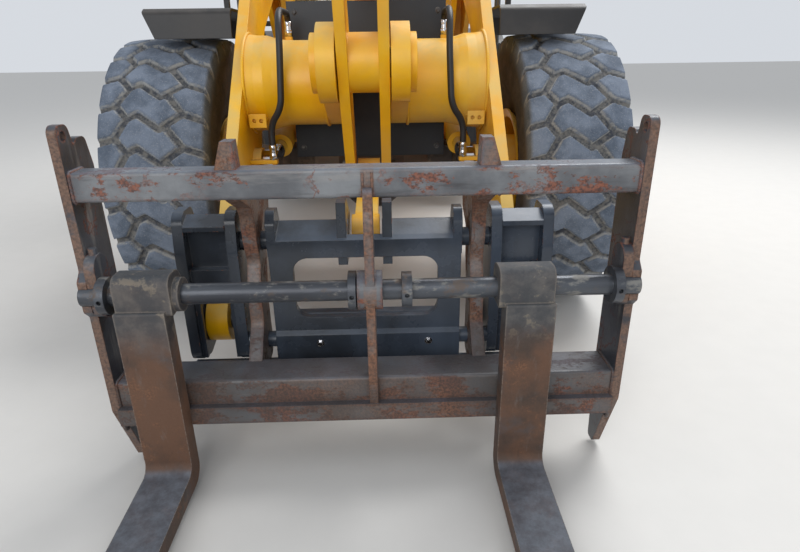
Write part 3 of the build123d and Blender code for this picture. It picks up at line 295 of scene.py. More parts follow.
def worked_steel(name, paint, shade, rust, spread, grain, gloss, ahead=0.0, painted_sky_top=None, brown_below=None,
                 brown_posts=()):
    """Dark plate of the fork frame: thin paint rubbed along its grain, rust in patches and in from the edges.

    Spread is how far rust comes in, ahead the share of brown on faces that look ahead, and the colour given
    for faces that look up is a painted sky reflection on them. What is below a height is browner, and darker
    in broad patches. Posts are browner too, each given as two places across and its front.
    """
    look = Finish(name)
    broad = look.noise(3.2, 6, 0.6)
    rubs = look.noise(22, 6, 0.65, grain)
    fine = look.noise(110, 4, 0.65)
    base = look.mix(look.band(broad, 0.36, 0.66), shade, paint)
    base = look.coat(base, look.band(rubs, 0.54, 0.74), 0.45, bright_rub)
    base = look.coat(base, look.band(rubs, 0.46, 0.28), 0.55, dark_rub)
    clouds = look.noise(9, 9, 0.74, eased(grain, 0.5))
    rusting = look.plus(clouds, look.times(look.edges(spread, 0.3), edge_gain))
    rusty = look.band(rusting, 0.73 - rust * rust_gain, 0.77 - rust * rust_gain)
    off_middle = look.calculate("ABSOLUTE", look.calculate("SUBTRACT", look.noise(5, 8, 0.6), 0.5))
    cracks = look.times(look.band(off_middle, 0.016, 0.004), look.band(broad, 0.42, 0.58))
    rusty = look.most(rusty, look.times(cracks, 0.8))
    base = look.coat(base, rusty, 0.8, look.mix(look.band(fine, 0.36, 0.64), *plate_rust))
    brown_masks = []
    if brown_below:
        low_places = look.band(look.axis(look.place, "Z"), brown_below + 0.05, brown_below)
        brown_masks.append(look.times(low_places, look.patches(0.3, 0.7, 4, 7, 0.7)))
    for low, high, front in brown_posts:
        front_y = front_axle_y - front
        across = look.inside("X", low, high)
        behind = look.band(look.axis(look.place, "Y"), front_y - soft_edge, front_y)
        post = look.times(across, behind)
        brown_masks.append(look.times(post, look.patches(0.25, 0.6, 9, 6, 0.66)))
    if brown_masks:
        brown = look.mix(look.band(fine, 0.32, 0.68), *plate_brown)
        base = look.coat(base, functools.reduce(look.most, brown_masks), 0.75, brown)
    if ahead:
        cover = look.times(look.patches(0.28, 0.5, 14, 5, 0.65), ahead)
        ahead_tone = look.mix(look.band(fine, 0.3, 0.7), *ahead_brown)
        base = look.coat(base, look.turned("Y", -0.7, -0.95), cover, ahead_tone)
    # Painted sky reflection: faces that look up take the given bluish grey in patches
    if painted_sky_top:
        cover = look.times(look.band(fine, 0.25, 0.55), 0.75)
        base = look.coat(base, look.turned("Z", 0.4, 0.9), cover, painted_sky_top)
    # Below that height the plate is also darker, in broad patches
    if brown_below:
        base = look.coat(base, look.times(low_places, look.band(broad, 0.3, 0.6)), 0.7, low_dark_tone)
    look.set(Base_Color=base, Roughness=look.plus(gloss, look.times(rusty, 0.4)))
    look.relief(look.plus(look.times(fine, 0.35), look.times(clouds, 0.65)), 0.0022, 0.004)
    return look.material


def forged_steel(name, tone, shade, eye_height):
    """Forged tine: thin brown rust scraped along its length, a painted blue-grey sky reflection on its top
    faces, its eye painted dark.

    The eye's paint begins about eye_height, along an edge that a cloudy pattern makes uneven.
    """
    look = Finish(name, metallic=0.15)
    broad = look.noise(4, 7, 0.62)
    scrapes = look.noise(26, 8, 0.7, along_tine)
    fine = look.noise(130, 5, 0.66)
    base = look.mix(look.band(broad, 0.38, 0.6), shade, tone)
    base = look.coat(base, look.band(scrapes, 0.56, 0.74), 0.4, bright_scrape)
    base = look.coat(base, look.band(scrapes, 0.44, 0.3), 0.5, dark_scrape)
    base = look.coat(base, look.patches(0.52, 0.64, 3, 7, 0.66), 0.55, bare_forging)
    rust_tone = look.mix(look.band(fine, 0.38, 0.62), *forging_rust)
    base = look.coat(base, look.patches(0.52, 0.66, 9, 9, 0.72), 0.6, rust_tone)
    # Painted sky reflection: faces that look up take a blue-grey tone, streaked along the scrapes
    sky_reflection_tone = look.mix(look.band(scrapes, 0.3, 0.7), *sky_reflection_tops)
    base = look.coat(base, look.turned("Z", 0.5, 0.95), 0.8, sky_reflection_tone)
    base = look.coat(base, look.edges(0.007, 0.3), look.band(fine, 0.35, 0.6), forging_edge)
    uneven_height = look.plus(look.axis(look.place, "Z"), look.times(broad, 0.16))
    eye_tone = look.mix(look.patches(0.4, 0.66, 12, 8, 0.7), *eye_paint)
    eye_tone = look.coat(eye_tone, look.patches(0.56, 0.63, 17, 7, 0.7), 0.6, eye_scuff)
    eye_tone = look.coat(eye_tone, look.edges(0.012, 0.3), 0.6, eye_edge)
    base = look.coat(base, look.band(uneven_height, eye_height - 0.03, eye_height + 0.11), 0.85, eye_tone)
    look.set(Base_Color=base, Roughness=look.plus(0.5, look.times(fine, 0.35)))
    look.relief(look.plus(look.times(broad, 0.5), look.times(scrapes, 0.5)), 0.0025, 0.005)
    return look.material


def greased_steel(name, tone, shade, gloss=0.32, metallic=0.5, grain=(1, 1, 1)):
    """Steel bar under a film of dark grease with dull rubbed places, thinly rusted where it is dry."""
    look = Finish(name, metallic=metallic)
    film = look.noise(7, 6, 0.62, grain)
    fine = look.noise(90, 4, 0.6)
    base = look.mix(look.band(film, 0.35, 0.62), shade, tone)
    rubbed = look.band(look.noise(16, 7, 0.7, eased(grain, 0.45)), 0.53, 0.62)
    base = look.coat(base, rubbed, 0.7, rubbed_bar)
    dry = look.patches(0.54, 0.66, 10, 8, 0.72)
    base = look.coat(base, dry, 0.5, dry_bar)
    look.set(Base_Color=base, Roughness=look.plus(gloss, look.times(look.most(rubbed, dry), 0.35)))
    look.relief(look.plus(look.times(film, 0.5), look.times(fine, 0.5)), 0.001, 0.003)
    return look.material


def cast_iron(name, tone, shade, overlay_colour):
    """Rough casting under dry brown mud and dust."""
    look = Finish(name)
    broad = look.noise(5, 7, 0.66)
    fine = look.noise(70, 6, 0.7)
    base = look.mix(look.band(broad, 0.36, 0.64), shade, tone)
    caked = look.most(look.times(look.turned("Z", 0.0, 0.8), 0.8), look.patches(0.5, 0.66, 8, 8, 0.72))
    base = look.coat(base, caked, 0.7, overlay_colour)
    look.set(Base_Color=base, Roughness=look.plus(0.62, look.times(caked, 0.3)))
    look.relief(look.plus(look.times(fine, 0.5), look.times(broad, 0.5)), 0.003, 0.006)
    return look.material


def plain_finish(name, tone, roughness, metallic=0.0, grain=120, depth=0.0004, radius=0.002, vary=0.25):
    """Even finish with a fine grain, whose tone darkens here and there by the share vary."""
    look = Finish(name, roughness, metallic)
    darker = tuple(channel * (1 - vary) for channel in tone[:3]) + (1.0,)
    look.set(Base_Color=look.mix(look.patches(0.3, 0.7, 7, 5, 0.6), darker, tone))
    look.relief(look.noise(grain, 3, 0.5), depth, radius)
    return look.material


def tyre_finish(name):
    """Dusty rubber: blue-grey blocks with pale specks, dust in the grooves, brown mud on the ribbed sides."""
    look = Finish(name)
    groove = look.attribute("groove")
    side = look.attribute("side")
    fine = look.noise(170, 5, 0.72)
    cloud = look.noise(8, 7, 0.64)
    tread = look.mix(look.band(cloud, 0.34, 0.66), *rubber)
    tread = look.coat(tread, look.band(fine, 0.52, 0.72), 0.55, speck)
    rim_dust = look.times(look.band(groove, 0.02, 0.3), look.patches(0.3, 0.6, 40, 4, 0.6))
    tread = look.coat(tread, rim_dust, 0.6, groove_rim)
    floor_tone = look.mix(look.patches(0.38, 0.62, 30, 6, 0.7), *groove_floor)
    tread = look.mix(look.band(groove, 0.5, 0.95), tread, floor_tone)
    mud = look.mix(look.band(cloud, 0.3, 0.72), *side_mud)
    mud = look.coat(mud, look.patches(0.5, 0.72, 34, 6, 0.66), 0.4, dry_mud)
    muddy = look.plus(side, look.times(look.calculate("SUBTRACT", cloud, 0.5), 1.2))
    look.set(Base_Color=look.mix(look.band(muddy, 0.15, 0.85), tread, mud), Roughness=0.9)
    look.relief(look.plus(look.times(fine, 0.6), look.times(cloud, 0.4)), 0.0018)
    return look.material


def clear_finish(name, tone, transmission=0.92, roughness=0.03):
    """Glass or a clear lens with a thin film of dust."""
    look = Finish(name, roughness)
    base = look.coat(tone, look.patches(0.4, 0.75, 4, 5, 0.6), 0.15, glass_dust)
    look.set(Base_Color=base, Transmission_Weight=transmission, IOR=1.45)
    return look.material


yellow = colour(246, 188, 2)
yellow_shade = colour(226, 162, 0)
pale_dust = colour(192, 170, 112)
lamp_black = colour(40, 41, 44)
eye_bottom = 0.63
beam_top = 0.46
post_places = ((0.374, 0.43, 1.758), (-0.43, -0.374, 1.758), (0.006, 0.042, 1.9))
finishes = {
    "yellow_paint": painted_steel("yellow_paint", yellow, yellow_shade, pale_dust, 0.08, 0.6, 0.34),
    "dark_paint": painted_steel(
        "dark_paint", colour(60, 63, 68), lamp_black, colour(116, 112, 106), 0.2, 0.4, 0.32
    ),
    "frame_steel": worked_steel(
        "frame_steel", colour(124, 127, 130), colour(84, 86, 90), 0.80, 0.026, across_machine, 0.4,
        # The bluish grey on the top faces is a painted sky reflection
        painted_sky_top=colour(84, 92, 104), brown_below=beam_top, brown_posts=post_places
    ),
    "axle_iron": cast_iron("axle_iron", colour(72, 60, 52), colour(46, 38, 34), colour(128, 110, 92)),
    "rusty_steel": forged_steel("rusty_steel", colour(98, 70, 53), colour(70, 56, 48), eye_bottom),
    "pin_steel": greased_steel("pin_steel", colour(78, 76, 76), colour(48, 46, 46)),
    "chrome_rod": plain_finish("chrome_rod", colour(214, 214, 216), 0.12, 1.0, depth=0.0001),
    "tyre_rubber": tyre_finish("tyre_rubber"),
    "window_glass": clear_finish("window_glass", colour(222, 232, 228)),
    "seat_fabric": plain_finish("seat_fabric", colour(52, 52, 56), 0.9, grain=700, depth=0.0008),
    "black_plastic": plain_finish("black_plastic", colour(36, 36, 38), 0.55),
    "lamp_glass": clear_finish("lamp_glass", colour(236, 236, 232), 0.6, 0.1),
}
special_finishes = {
    "fork_side_plates": worked_steel(
        "side_plate_steel", colour(74, 78, 86), colour(44, 46, 52), 0.45, 0.012, upright, 0.42, ahead=0.9
    ),
    "fork_shaft": greased_steel(
        "shaft_steel", colour(84, 88, 94), colour(54, 56, 62), 0.34, 0.45, across_machine
    ),
    "front_mudguards": painted_steel(
        "mudguard_black", colour(34, 33, 34), colour(24, 23, 24), colour(104, 98, 92), 0.0, 0.3, 0.45
    ),
    "front_cover": painted_steel(
        "cover_navy", colour(26, 30, 38), colour(18, 20, 26), colour(84, 82, 80), 0.0, 0.3, 0.4
    ),
    "crank_pin": painted_steel("pin_paint", yellow, yellow_shade, pale_dust, 0.08, 0.5, 0.34),
    "quick_coupler": painted_steel(
        # The light blue-grey laid on what faces up is a painted sky reflection, not dust
        "coupler_paint", colour(60, 68, 80), colour(38, 42, 48), colour(92, 106, 124), 0.25, 0.4, 0.24
    ),
    "lift_arms": painted_steel("arm_paint", yellow, yellow_shade, pale_dust, 0.08, 0.75, 0.34),
    "head_lamps": plain_finish("lamp_housing", lamp_black, 0.5),
    "work_lamps": plain_finish("work_lamp_housing", lamp_black, 0.5),
    "arm_hoses": plain_finish("hose_rubber", colour(34, 34, 36), 0.5, grain=300),
}
slot_of = {part["node"]: part["material_slot"] for part in frame["record"]["subparts"]}
for name, node in nodes.items():
    node.data.materials.clear()
    node.data.materials.append(special_finishes.get(name, finishes[slot_of[name]]))


def surface(name, points, faces, finish, body, smooth=True):
    """Mesh piece from an array of points and an array of faces, riding on a body."""
    mesh = bpy.data.meshes.new(name)
    mesh.from_pydata(points.tolist(), [], faces.tolist())
    mesh.materials.append(finish)
    mesh.polygons.foreach_set("use_smooth", np.full(len(mesh.polygons), smooth))
    mesh.update()
    piece = bpy.data.objects.new(name, mesh)
    bpy.context.collection.objects.link(piece)
    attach(piece, body)
    return piece


def grid_faces(rows, columns, close_rows=False, close_columns=False):
    """Quads of a grid of points numbered row by row, joined round where a direction is closed."""
    row = np.arange(rows if close_rows else rows - 1)[:, None]
    column = np.arange(columns if close_columns else columns - 1)[None, :]
    next_row = (row + 1) % rows
    next_column = (column + 1) % columns
    corners = [
        row * columns + column,
        row * columns + next_column,
        next_row * columns + next_column,
        next_row * columns + column,
    ]
    return np.stack([np.broadcast_to(c, (len(row), column.shape[1])).ravel() for c in corners], axis=1)


# Tread: one row of its pattern, as lines between (across, along) places. Across runs from -1 at one
# shoulder to 1 at the other, along is counted in rows.
tread_rows = 28
tread_lines = {
    "kink_to_middle": ((-0.45, 0.43), (-0.25, 0.28)),
    "middle_to_valley": ((-0.25, 0.28), (0.18, 0.75)),
    "valley_to_right": ((0.18, 0.75), (0.63, 0.30)),
    "right_to_shoulder": ((0.63, 0.30), (1.30, 0.62)),
    "link_to_right": ((0.28, -0.35), (0.63, 0.30)),
    "left_to_kink": ((-0.68, 0.00), (-0.45, 0.43)),
    "kink_to_left": ((-0.45, -0.57), (-0.68, 0.00)),
    "left_to_shoulder": ((-0.68, 0.00), (-1.30, 0.22)),
}
groove_half = 0.011
groove_bevel = 0.010
groove_depth = 0.024
tread_half = 0.245
bead_radius = 0.318
tyre_segments = tread_rows * 22
crown_drop = 0.012
bead_pull = 0.045
pull_from = 0.6
rib_height = 0.0025
rib_waves = 60
ribs_from = 0.25
ribs_to = 0.90
groove_fade = 0.22
pattern_on_wall = 0.35
side_from = 0.06
side_full = 0.36
tread_phase = 0.03


def groove_mask(across, along):
    """How deep the tread is cut at places across (metres) and along (metres), from 0 to 1.

    The distance to the nearest of the pattern's lines, repeated row by row, is turned by a smooth step
    into a flat-bottomed groove.
    """
    pitch = 2 * math.pi * tyre_radius / tread_rows
    nearest = np.full(across.shape, 1.0)
    along_in_row = np.mod(along, pitch)
    for (u0, v0), (u1, v1) in tread_lines.values():
        for shift in (-1, 0, 1):
            x0, y0 = u0 * tread_half, (v0 + shift) * pitch
            dx, dy = (u1 - u0) * tread_half, (v1 - v0) * pitch
            share = np.clip(((across - x0) * dx + (along_in_row - y0) * dy) / (dx * dx + dy * dy), 0, 1)
            distance = np.hypot(across - x0 - share * dx, along_in_row - y0 - share * dy)
            nearest = np.minimum(nearest, distance)
    rise = np.clip((nearest - groove_half) / groove_bevel, 0, 1)
    return 1 - rise * rise * (3 - 2 * rise)


def tyre_piece(name, centre_x, centre_y, body, phase):
    """Tyre: a section carried round the axle, with the tread cut into it.

    The section runs from bead to bead. Over the crown, with s from -1 to 1, the radius falls by crown_drop x
    |s|^2.6. Down each wall, with w from 0 at the shoulder to 1 at the bead, the place across bulges by
    sin(pi x 1.15 w)^0.8 and is drawn in near the bead, the radius falls with w^1.15, and ribs of sin(60 w)
    stand on the middle. The grooves lower the radius and fade out down the shoulder.
    """
    crown = np.linspace(-1, 1, 57)
    wall = np.linspace(0, 1, 18)[1:]
    shoulder_radius = tyre_radius - crown_drop
    radius_crown = tyre_radius - crown_drop * np.abs(crown) ** 2.6
    radius_wall = shoulder_radius + (bead_radius - shoulder_radius) * (wall**1.15)
    bulge = np.maximum(np.sin(np.pi * np.minimum(wall * 1.15, 1.0)) ** 0.8, 0)
    across_wall = tread_half + (tyre_half_width - tread_half) * bulge
    across_wall = across_wall - bead_pull * np.maximum(wall - pull_from, 0) / (1 - pull_from)
    rib = rib_height * np.sin(wall * rib_waves) * (wall > ribs_from) * (wall < ribs_to)
    across_wall = np.minimum(across_wall + rib, tyre_half_width)
    across = np.concatenate([-across_wall[::-1], crown * tread_half, across_wall])
    radius = np.concatenate([radius_wall[::-1], radius_crown, radius_wall])
    walls = np.concatenate([wall[::-1], np.zeros(len(crown)), wall])
    turn = np.linspace(0, 2 * math.pi, tyre_segments, endpoint=False)
    round_grid, across_grid = np.meshgrid(turn, across, indexing="ij")
    walls_grid = np.broadcast_to(walls, round_grid.shape)
    on_wall = np.sign(across_grid) * (tread_half + walls_grid * pattern_on_wall)
    reach = np.where(walls_grid > 0, on_wall, across_grid)
    groove = groove_mask(reach, (round_grid + phase) * tyre_radius)
    groove = groove * np.clip(1 - walls_grid / groove_fade, 0, 1)
    radius_grid = radius - groove_depth * groove
    points = np.stack(
        [
            centre_x + across_grid,
            centre_y + radius_grid * np.cos(round_grid),
            axle_height + radius_grid * np.sin(round_grid),
        ],
        axis=-1,
    ).reshape(-1, 3)
    faces = grid_faces(len(turn), len(across), True, True)[:, ::-1]
    piece = surface(name, points, faces, finishes["tyre_rubber"], body)
    sides = np.clip((walls_grid - side_from) / (side_full - side_from), 0, 1)
    for label, values in (("groove", groove), ("side", sides)):
        piece.data.attributes.new(label, "FLOAT", "POINT").data.foreach_set("value", values.ravel())
    return piece


wheels = [
    (end, side, sign, centre_y)
    for end, centre_y in (("front", front_axle_y), ("rear", rear_axle_y))
    for side, sign in (("left", 1), ("right", -1))
]
for end, side, sign, centre_y in wheels:
    wheel = f"wheel_{end}_{side}"
    tyre = tyre_piece(f"tread_{end}_{side}", sign * tyre_centre_x, centre_y, wheel, tread_phase * sign)
    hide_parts(f"tyre_{end}_{side}")


def fitting(name, form, slot, body, smooth=True):
    """Small closed piece in a slot's finish, its doubles merged and its faces turned outwards."""
    points, faces = form
    piece = surface(name, points, faces, finishes[slot], body, smooth)
    shape = bmesh.new()
    shape.from_mesh(piece.data)
    bmesh.ops.remove_doubles(shape, verts=shape.verts, dist=1e-6)
    bmesh.ops.recalc_face_normals(shape, faces=shape.faces)
    shape.to_mesh(piece.data)
    shape.free()
    return piece


def place(x, ahead, height):
    """Point across the machine, ahead of the front axle and up, in metres."""
    return np.array([x, front_axle_y - ahead, height])


def joined(forms):
    """Several forms as one: their points in a row, and their faces numbered on."""
    starts = np.cumsum([0] + [len(points) for points, faces in forms[:-1]])
    return (
        np.concatenate([points for points, faces in forms]),
        np.concatenate([faces + start for (points, faces), start in zip(forms, starts)]),
    )


def repeated(form, places):
    """One copy of a form at each of some places."""
    points, faces = form
    copies = np.asarray(places)[:, None, :] + points[None, :, :]
    numbered = faces[None, :, :] + (np.arange(len(places)) * len(points))[:, None, None]
    return copies.reshape(-1, 3), numbered.reshape(-1, faces.shape[1])


def square_axes(axis):
    """Two unit vectors square to an axis and to each other."""
    axis = np.asarray(axis, float) / np.linalg.norm(axis)
    helper = np.array([0, 0, 1.0]) if abs(axis[2]) < 0.9 else np.array([1.0, 0, 0])
    first = np.cross(helper, axis)
    first /= np.linalg.norm(first)
    return axis, first, np.cross(axis, first)


def turned_form(rows, centre, axis, segments=24):
    """Rows of (along, radius, hexagon share) carried round an axis.

    A point is centre + along x axis + r x (cos a x first + sin a x second). The radius r is the row's radius
    times 1 - share + share x cos 30 / cos(a within its sixth - 30), which is a circle at a share of 0 and a
    hexagon at 1.
    """
    axis, first, second = square_axes(axis)
    rows = np.array([(*row, 0.0)[:3] for row in rows], float)
    turn = np.linspace(0, 2 * math.pi, segments, endpoint=False)
    sixth = math.pi / 3
    hexagon = math.cos(sixth / 2) / np.cos(np.mod(turn, sixth) - sixth / 2)
    radius = rows[:, 1:2] * (1 - rows[:, 2:3] + rows[:, 2:3] * hexagon[None, :])
    around = np.cos(turn)[:, None] * first + np.sin(turn)[:, None] * second
    points = centre + rows[:, 0][:, None, None] * axis + radius[:, :, None] * around[None, :, :]
    return points.reshape(-1, 3), grid_faces(len(rows), segments, close_columns=True)


def bolt_form(axis, radius, height):
    """Bolt on a washer, standing on the origin: a low round disc and a chamfered hexagon."""
    washer_radius = radius * 1.45
    washer_top = height * 0.18
    chamfer_start = height * 0.85
    rows = [
        (0, 0),
        (0, washer_radius),
        (washer_top, washer_radius),
        (washer_top, radius, 1),
        (chamfer_start, radius, 1),
        (height, radius * 0.82),
        (height, 0),
    ]
    return turned_form(rows, np.zeros(3), axis, 12)


def resampled(path, step, closed=False):
    """Places a step apart along straight runs between a path's points, and how far along each one is."""
    path = np.asarray(path, float)
    if closed:
        path = np.vstack([path, path[:1]])
    reached = np.concatenate([[0], np.cumsum(np.linalg.norm(np.diff(path, axis=0), axis=1))])
    count = max(4, int(reached[-1] / step))
    along = np.linspace(0, reached[-1], count, endpoint=not closed)
    return np.stack([np.interp(along, reached, path[:, k]) for k in range(3)], axis=1), along


def tube_form(path, radii, normal, segments=10, closed=False):
    """Round tube along a path that lies about in one plane.

    At each place a ring of radius r is laid out: place + r x (cos a x normal + sin a x side), where side is
    square to the path and to the plane's normal. Open ends are closed by a ring of no radius.
    """
    path = np.asarray(path, float)
    radii = np.broadcast_to(np.asarray(radii, float), (len(path),)).copy()
    if closed:
        run = np.roll(path, -1, axis=0) - np.roll(path, 1, axis=0)
    else:
        run = np.gradient(path, axis=0)
        path = np.vstack([path[:1], path, path[-1:]])
        run = np.vstack([run[:1], run, run[-1:]])
        radii = np.concatenate([[0], radii, [0]])
    normal = np.asarray(normal, float) / np.linalg.norm(normal)
    side = np.cross(run, normal)
    side /= np.linalg.norm(side, axis=1, keepdims=True)
    turn = np.linspace(0, 2 * math.pi, segments, endpoint=False)
    rings = np.cos(turn)[None, :, None] * normal + np.sin(turn)[None, :, None] * side[:, None, :]
    points = path[:, None, :] + radii[:, None, None] * rings
    return points.reshape(-1, 3), grid_faces(len(path), segments, closed, True)


def weld_form(path, normal, radius=0.006, closed=False):
    """Weld bead: a tube whose radius swells by a seventh at each ripple, |sin| of the way along."""
    ripple_long = 0.012
    ripple_swell = 0.14
    line, along = resampled(path, ripple_long / 4, closed)
    radii = radius * (1 + ripple_swell * np.abs(np.sin(math.pi * along / ripple_long)))
    return tube_form(line, radii, normal, 8, closed)


def ring_path(centre, radius, axis, angles=(0, 360), count=72):
    """Places round a circle about an axis."""
    axis, first, second = square_axes(axis)
    turn = np.radians(np.linspace(*angles, count, endpoint=angles[1] - angles[0] < 360))
    return centre + radius * (np.cos(turn)[:, None] * first + np.sin(turn)[:, None] * second)


def rounded_rectangle(low, high, radius, corner_steps=6):
    """Flat loop of a rectangle with rounded corners: a quarter circle about each corner's centre."""
    quarter = np.linspace(0, math.pi / 2, corner_steps)
    corners = ((high[0], high[1], 0), (low[0], high[1], 1), (low[0], low[1], 2), (high[0], low[1], 3))
    loops = []
    for x, y, quarters in corners:
        centre_x = x - radius if x == high[0] else x + radius
        centre_y = y - radius if y == high[1] else y + radius
        turn = quarter + quarters * math.pi / 2
        loops.append(np.stack([centre_x + radius * np.cos(turn), centre_y + radius * np.sin(turn)], axis=1))
    return np.concatenate(loops)


# Wheel bolts, on the web of each rim
web_x = 1.084
bolt_circle = 0.243
bolts_per_wheel = 20
bolt_radius = 0.016
bolt_height = 0.024
for end, side, sign, centre_y in wheels:
    centre = np.array([sign * web_x, centre_y, axle_height])
    ring = ring_path(centre, bolt_circle, (sign, 0, 0), count=bolts_per_wheel)
    bolts = repeated(bolt_form((sign, 0, 0), bolt_radius, bolt_height), ring)
    fitting(f"wheel_bolts_{end}_{side}", bolts, "pin_steel", f"wheel_{end}_{side}", smooth=False)

# Weld beads of the lift arms and of the fork frame
sideways = (1, 0, 0)
cross_tube = (0.480, 1.270)
tube_welds = ((0.556, 0.228), (0.195, 0.199))
arm_welds = []
for x, radius in tube_welds:
    for sign in (1, -1):
        ring = ring_path(place(sign * x, *cross_tube), radius, sideways)
        arm_welds.append(weld_form(ring, sideways, 0.007, closed=True))
fitting("arm_welds", joined(arm_welds), "yellow_paint", "boom")
beam_ends = ((1.675, 1.765, 1.012, 1.102), (1.620, 1.768, 0.200, 0.390))
beam_corner = 0.012
frame_plate_x = 0.846
rib_sides = (0.010, 0.038)
post_sides = (0.378, 0.426, -0.378, -0.426)
frame_welds = []
for back, front, low, high in beam_ends:
    loop = rounded_rectangle((back, low), (front, high), beam_corner)
    for x in (frame_plate_x, -frame_plate_x):
        line = [place(x, ahead, z) for ahead, z in loop]
        frame_welds.append(weld_form(line, sideways, 0.006, closed=True))
for x in rib_sides:
    line = [place(x, 1.766, z) for z in (1.016, 1.090)]
    frame_welds.append(weld_form(line, (0, 1, 0), 0.004))
for x in post_sides:
    line = [place(x, ahead, 1.011) for ahead in (1.676, 1.745)]
    frame_welds.append(weld_form(line, (0, 0, 1), 0.005))
fitting("frame_welds", joined(frame_welds), "frame_steel", "fork_head")

# Nuts and crimped sleeves of the two hoses, and the painted pipes that go on from them
hose_foot = (0.450, 0.700, 0.941)
hose_head = (0.386, 0.350, 1.485)
nut_rows = [
    (0, 0),
    (0, 0.021, 1),
    (0.026, 0.021, 1),
    (0.028, 0.017),
    (0.034, 0.019),
    (0.040, 0.017),
    (0.052, 0.019),
    (0.064, 0.0185),
    (0.068, 0.016),
    (0.068, 0),
]
pipe_route = (
    (0.450, 0.700, 0.921),
    (0.450, 0.698, 0.900),
    (0.456, 0.680, 0.880),
    (0.470, 0.640, 0.872),
    (0.5585, 0.600, 0.872),
)
pipe_radius = 0.010
hose_ends = []
pipes = []
for sign in (1, -1):
    for x, ahead, height in (hose_foot, hose_head):
        hose_ends.append(turned_form(nut_rows, place(sign * x, ahead, height), (0, 0, 1), 18))
    route = [place(sign * x, ahead, height) for x, ahead, height in pipe_route]
    pipes.append(tube_form(resampled(route, 0.008)[0], pipe_radius, (0, 0.4, 1), 12))
fitting("hose_nuts", joined(hose_ends), "chrome_rod", "boom")
fitting("arm_pipes", joined(pipes), "yellow_paint", "boom")

# Bolts on the coupler's lower panel and on the front cover
forwards = (0, -1, 0)
panel_bolt = bolt_form(forwards, 0.010, 0.010)
panel_front = 1.531
panel_bolt_height = 0.398
panel_places = [place(x, panel_front, panel_bolt_height) for x in (-0.180, 0.227)]
coupler_bolts = repeated(panel_bolt, panel_places)
fitting("coupler_bolts", coupler_bolts, "chrome_rod", "fork_head", False)
cover_low, cover_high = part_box("front_cover")
side_inset = 0.04
top_inset = 0.05
sunk_in = 0.001
cover_places = [
    np.array([x, cover_low.y + sunk_in, z])
    for x in (cover_low.x + side_inset, cover_high.x - side_inset)
    for z in (cover_low.z + top_inset, cover_high.z - top_inset)
]
cover_bolts = repeated(bolt_form(forwards, 0.011, 0.012), cover_places)
fitting("cover_bolts", cover_bolts, "pin_steel", "front_frame", False)

# Rubber seals round the cab's windows: flat loops, the front one bent to the windscreen's slope
cab_half = 0.700
cab_back = 2.780
seal_radius = 0.009
window_corner = 0.060
windscreen_heights = (1.45, 1.95, 2.15, 3.14)
windscreen_backs = (1.300, 1.300, 1.3055, 1.360)
front_loop = rounded_rectangle((-0.600, 1.700), (0.600, 3.060), window_corner)
slope = np.interp(front_loop[:, 1], windscreen_heights, windscreen_backs)
back_loop = rounded_rectangle((-0.600, 2.080), (0.600, 3.060), window_corner)
seals = [
    (front_loop[:, 0], -slope, front_loop[:, 1], (0, 1, 0)),
    (back_loop[:, 0], np.full(len(back_loop), -cab_back), back_loop[:, 1], (0, 1, 0)),
]
side_windows = (
    ((-2.250, 2.080), (-1.480, 3.060), -cab_half),
    ((-2.680, 2.080), (-2.330, 3.060), -cab_half),
    ((-2.680, 2.080), (-2.330, 3.060), cab_half),
)
door_window = ((-2.170, 2.100), (-1.560, 2.980), cab_half)


def side_seal(low, high, x):
    """Across, ahead and height of a side window's loop, and the normal of its plane."""
    loop = rounded_rectangle(low, high, window_corner)
    return np.full(len(loop), x), loop[:, 0], loop[:, 1], sideways


def seal_form(across, ahead, height, normal):
    """Rubber bead along a closed loop."""
    line = resampled(np.stack([across, front_axle_y - ahead, height], axis=1), 0.02, closed=True)[0]
    return tube_form(line, seal_radius, normal, 8, closed=True)


seals += [side_seal(*window) for window in side_windows]
fitting("cab_seals", joined([seal_form(*seal) for seal in seals]), "black_plastic", "rear_frame")
fitting("door_seal", seal_form(*side_seal(*door_window)), "black_plastic", "cab_door")

# Lenses: domes in the head lamps, crowned oblong panes on the work lamps
head_lamp_x = 0.830
head_lamp_height = 1.830
lens_rows = [
    (0, 0), (0, 0.055), (0.003, 0.055), (0.006, 0.050), (0.009, 0.038), (0.011, 0.020), (0.012, 0)
]
bezel_rows = [
    (-0.004, 0.056), (-0.004, 0.064), (0.004, 0.064), (0.006, 0.060), (0.004, 0.056), (-0.004, 0.056)
]
lamp_rings = (
    ("head_lamp_lenses", lens_rows, -0.2535, "lamp_glass"),
    ("head_lamp_bezels", bezel_rows, -0.250, "black_plastic"),
)
for name, rows, ahead, slot in lamp_rings:
    centres = [place(x, ahead, head_lamp_height) for x in (head_lamp_x, -head_lamp_x)]
    pair = [turned_form(rows, centre, forwards, 32) for centre in centres]
    fitting(name, joined(pair), slot, "front_frame")


def pane_form(centre, half_wide, half_high, depth, ahead_sign):
    """Crowned oblong pane with a flat back.

    With u and v from -1 to 1 across and up, a point goes out by depth x (1 - u^4)(1 - v^4), and its place is
    drawn in by the share 0.1 (u v)^4, which rounds the corners.
    """
    u, v = np.meshgrid(np.linspace(-1, 1, 15), np.linspace(-1, 1, 11))
    crown = depth * (1 - u**4) * (1 - v**4)
    shrink = 1 - 0.1 * (u * v) ** 4
    across, up = u * half_wide * shrink, v * half_high * shrink
    front = np.stack([across, -ahead_sign * crown, up], axis=-1).reshape(-1, 3)
    back = np.stack([across, np.zeros(u.shape), up], axis=-1).reshape(-1, 3)
    faces = grid_faces(*u.shape)
    return joined([(centre + front, faces), (centre + back, faces[:, ::-1])])


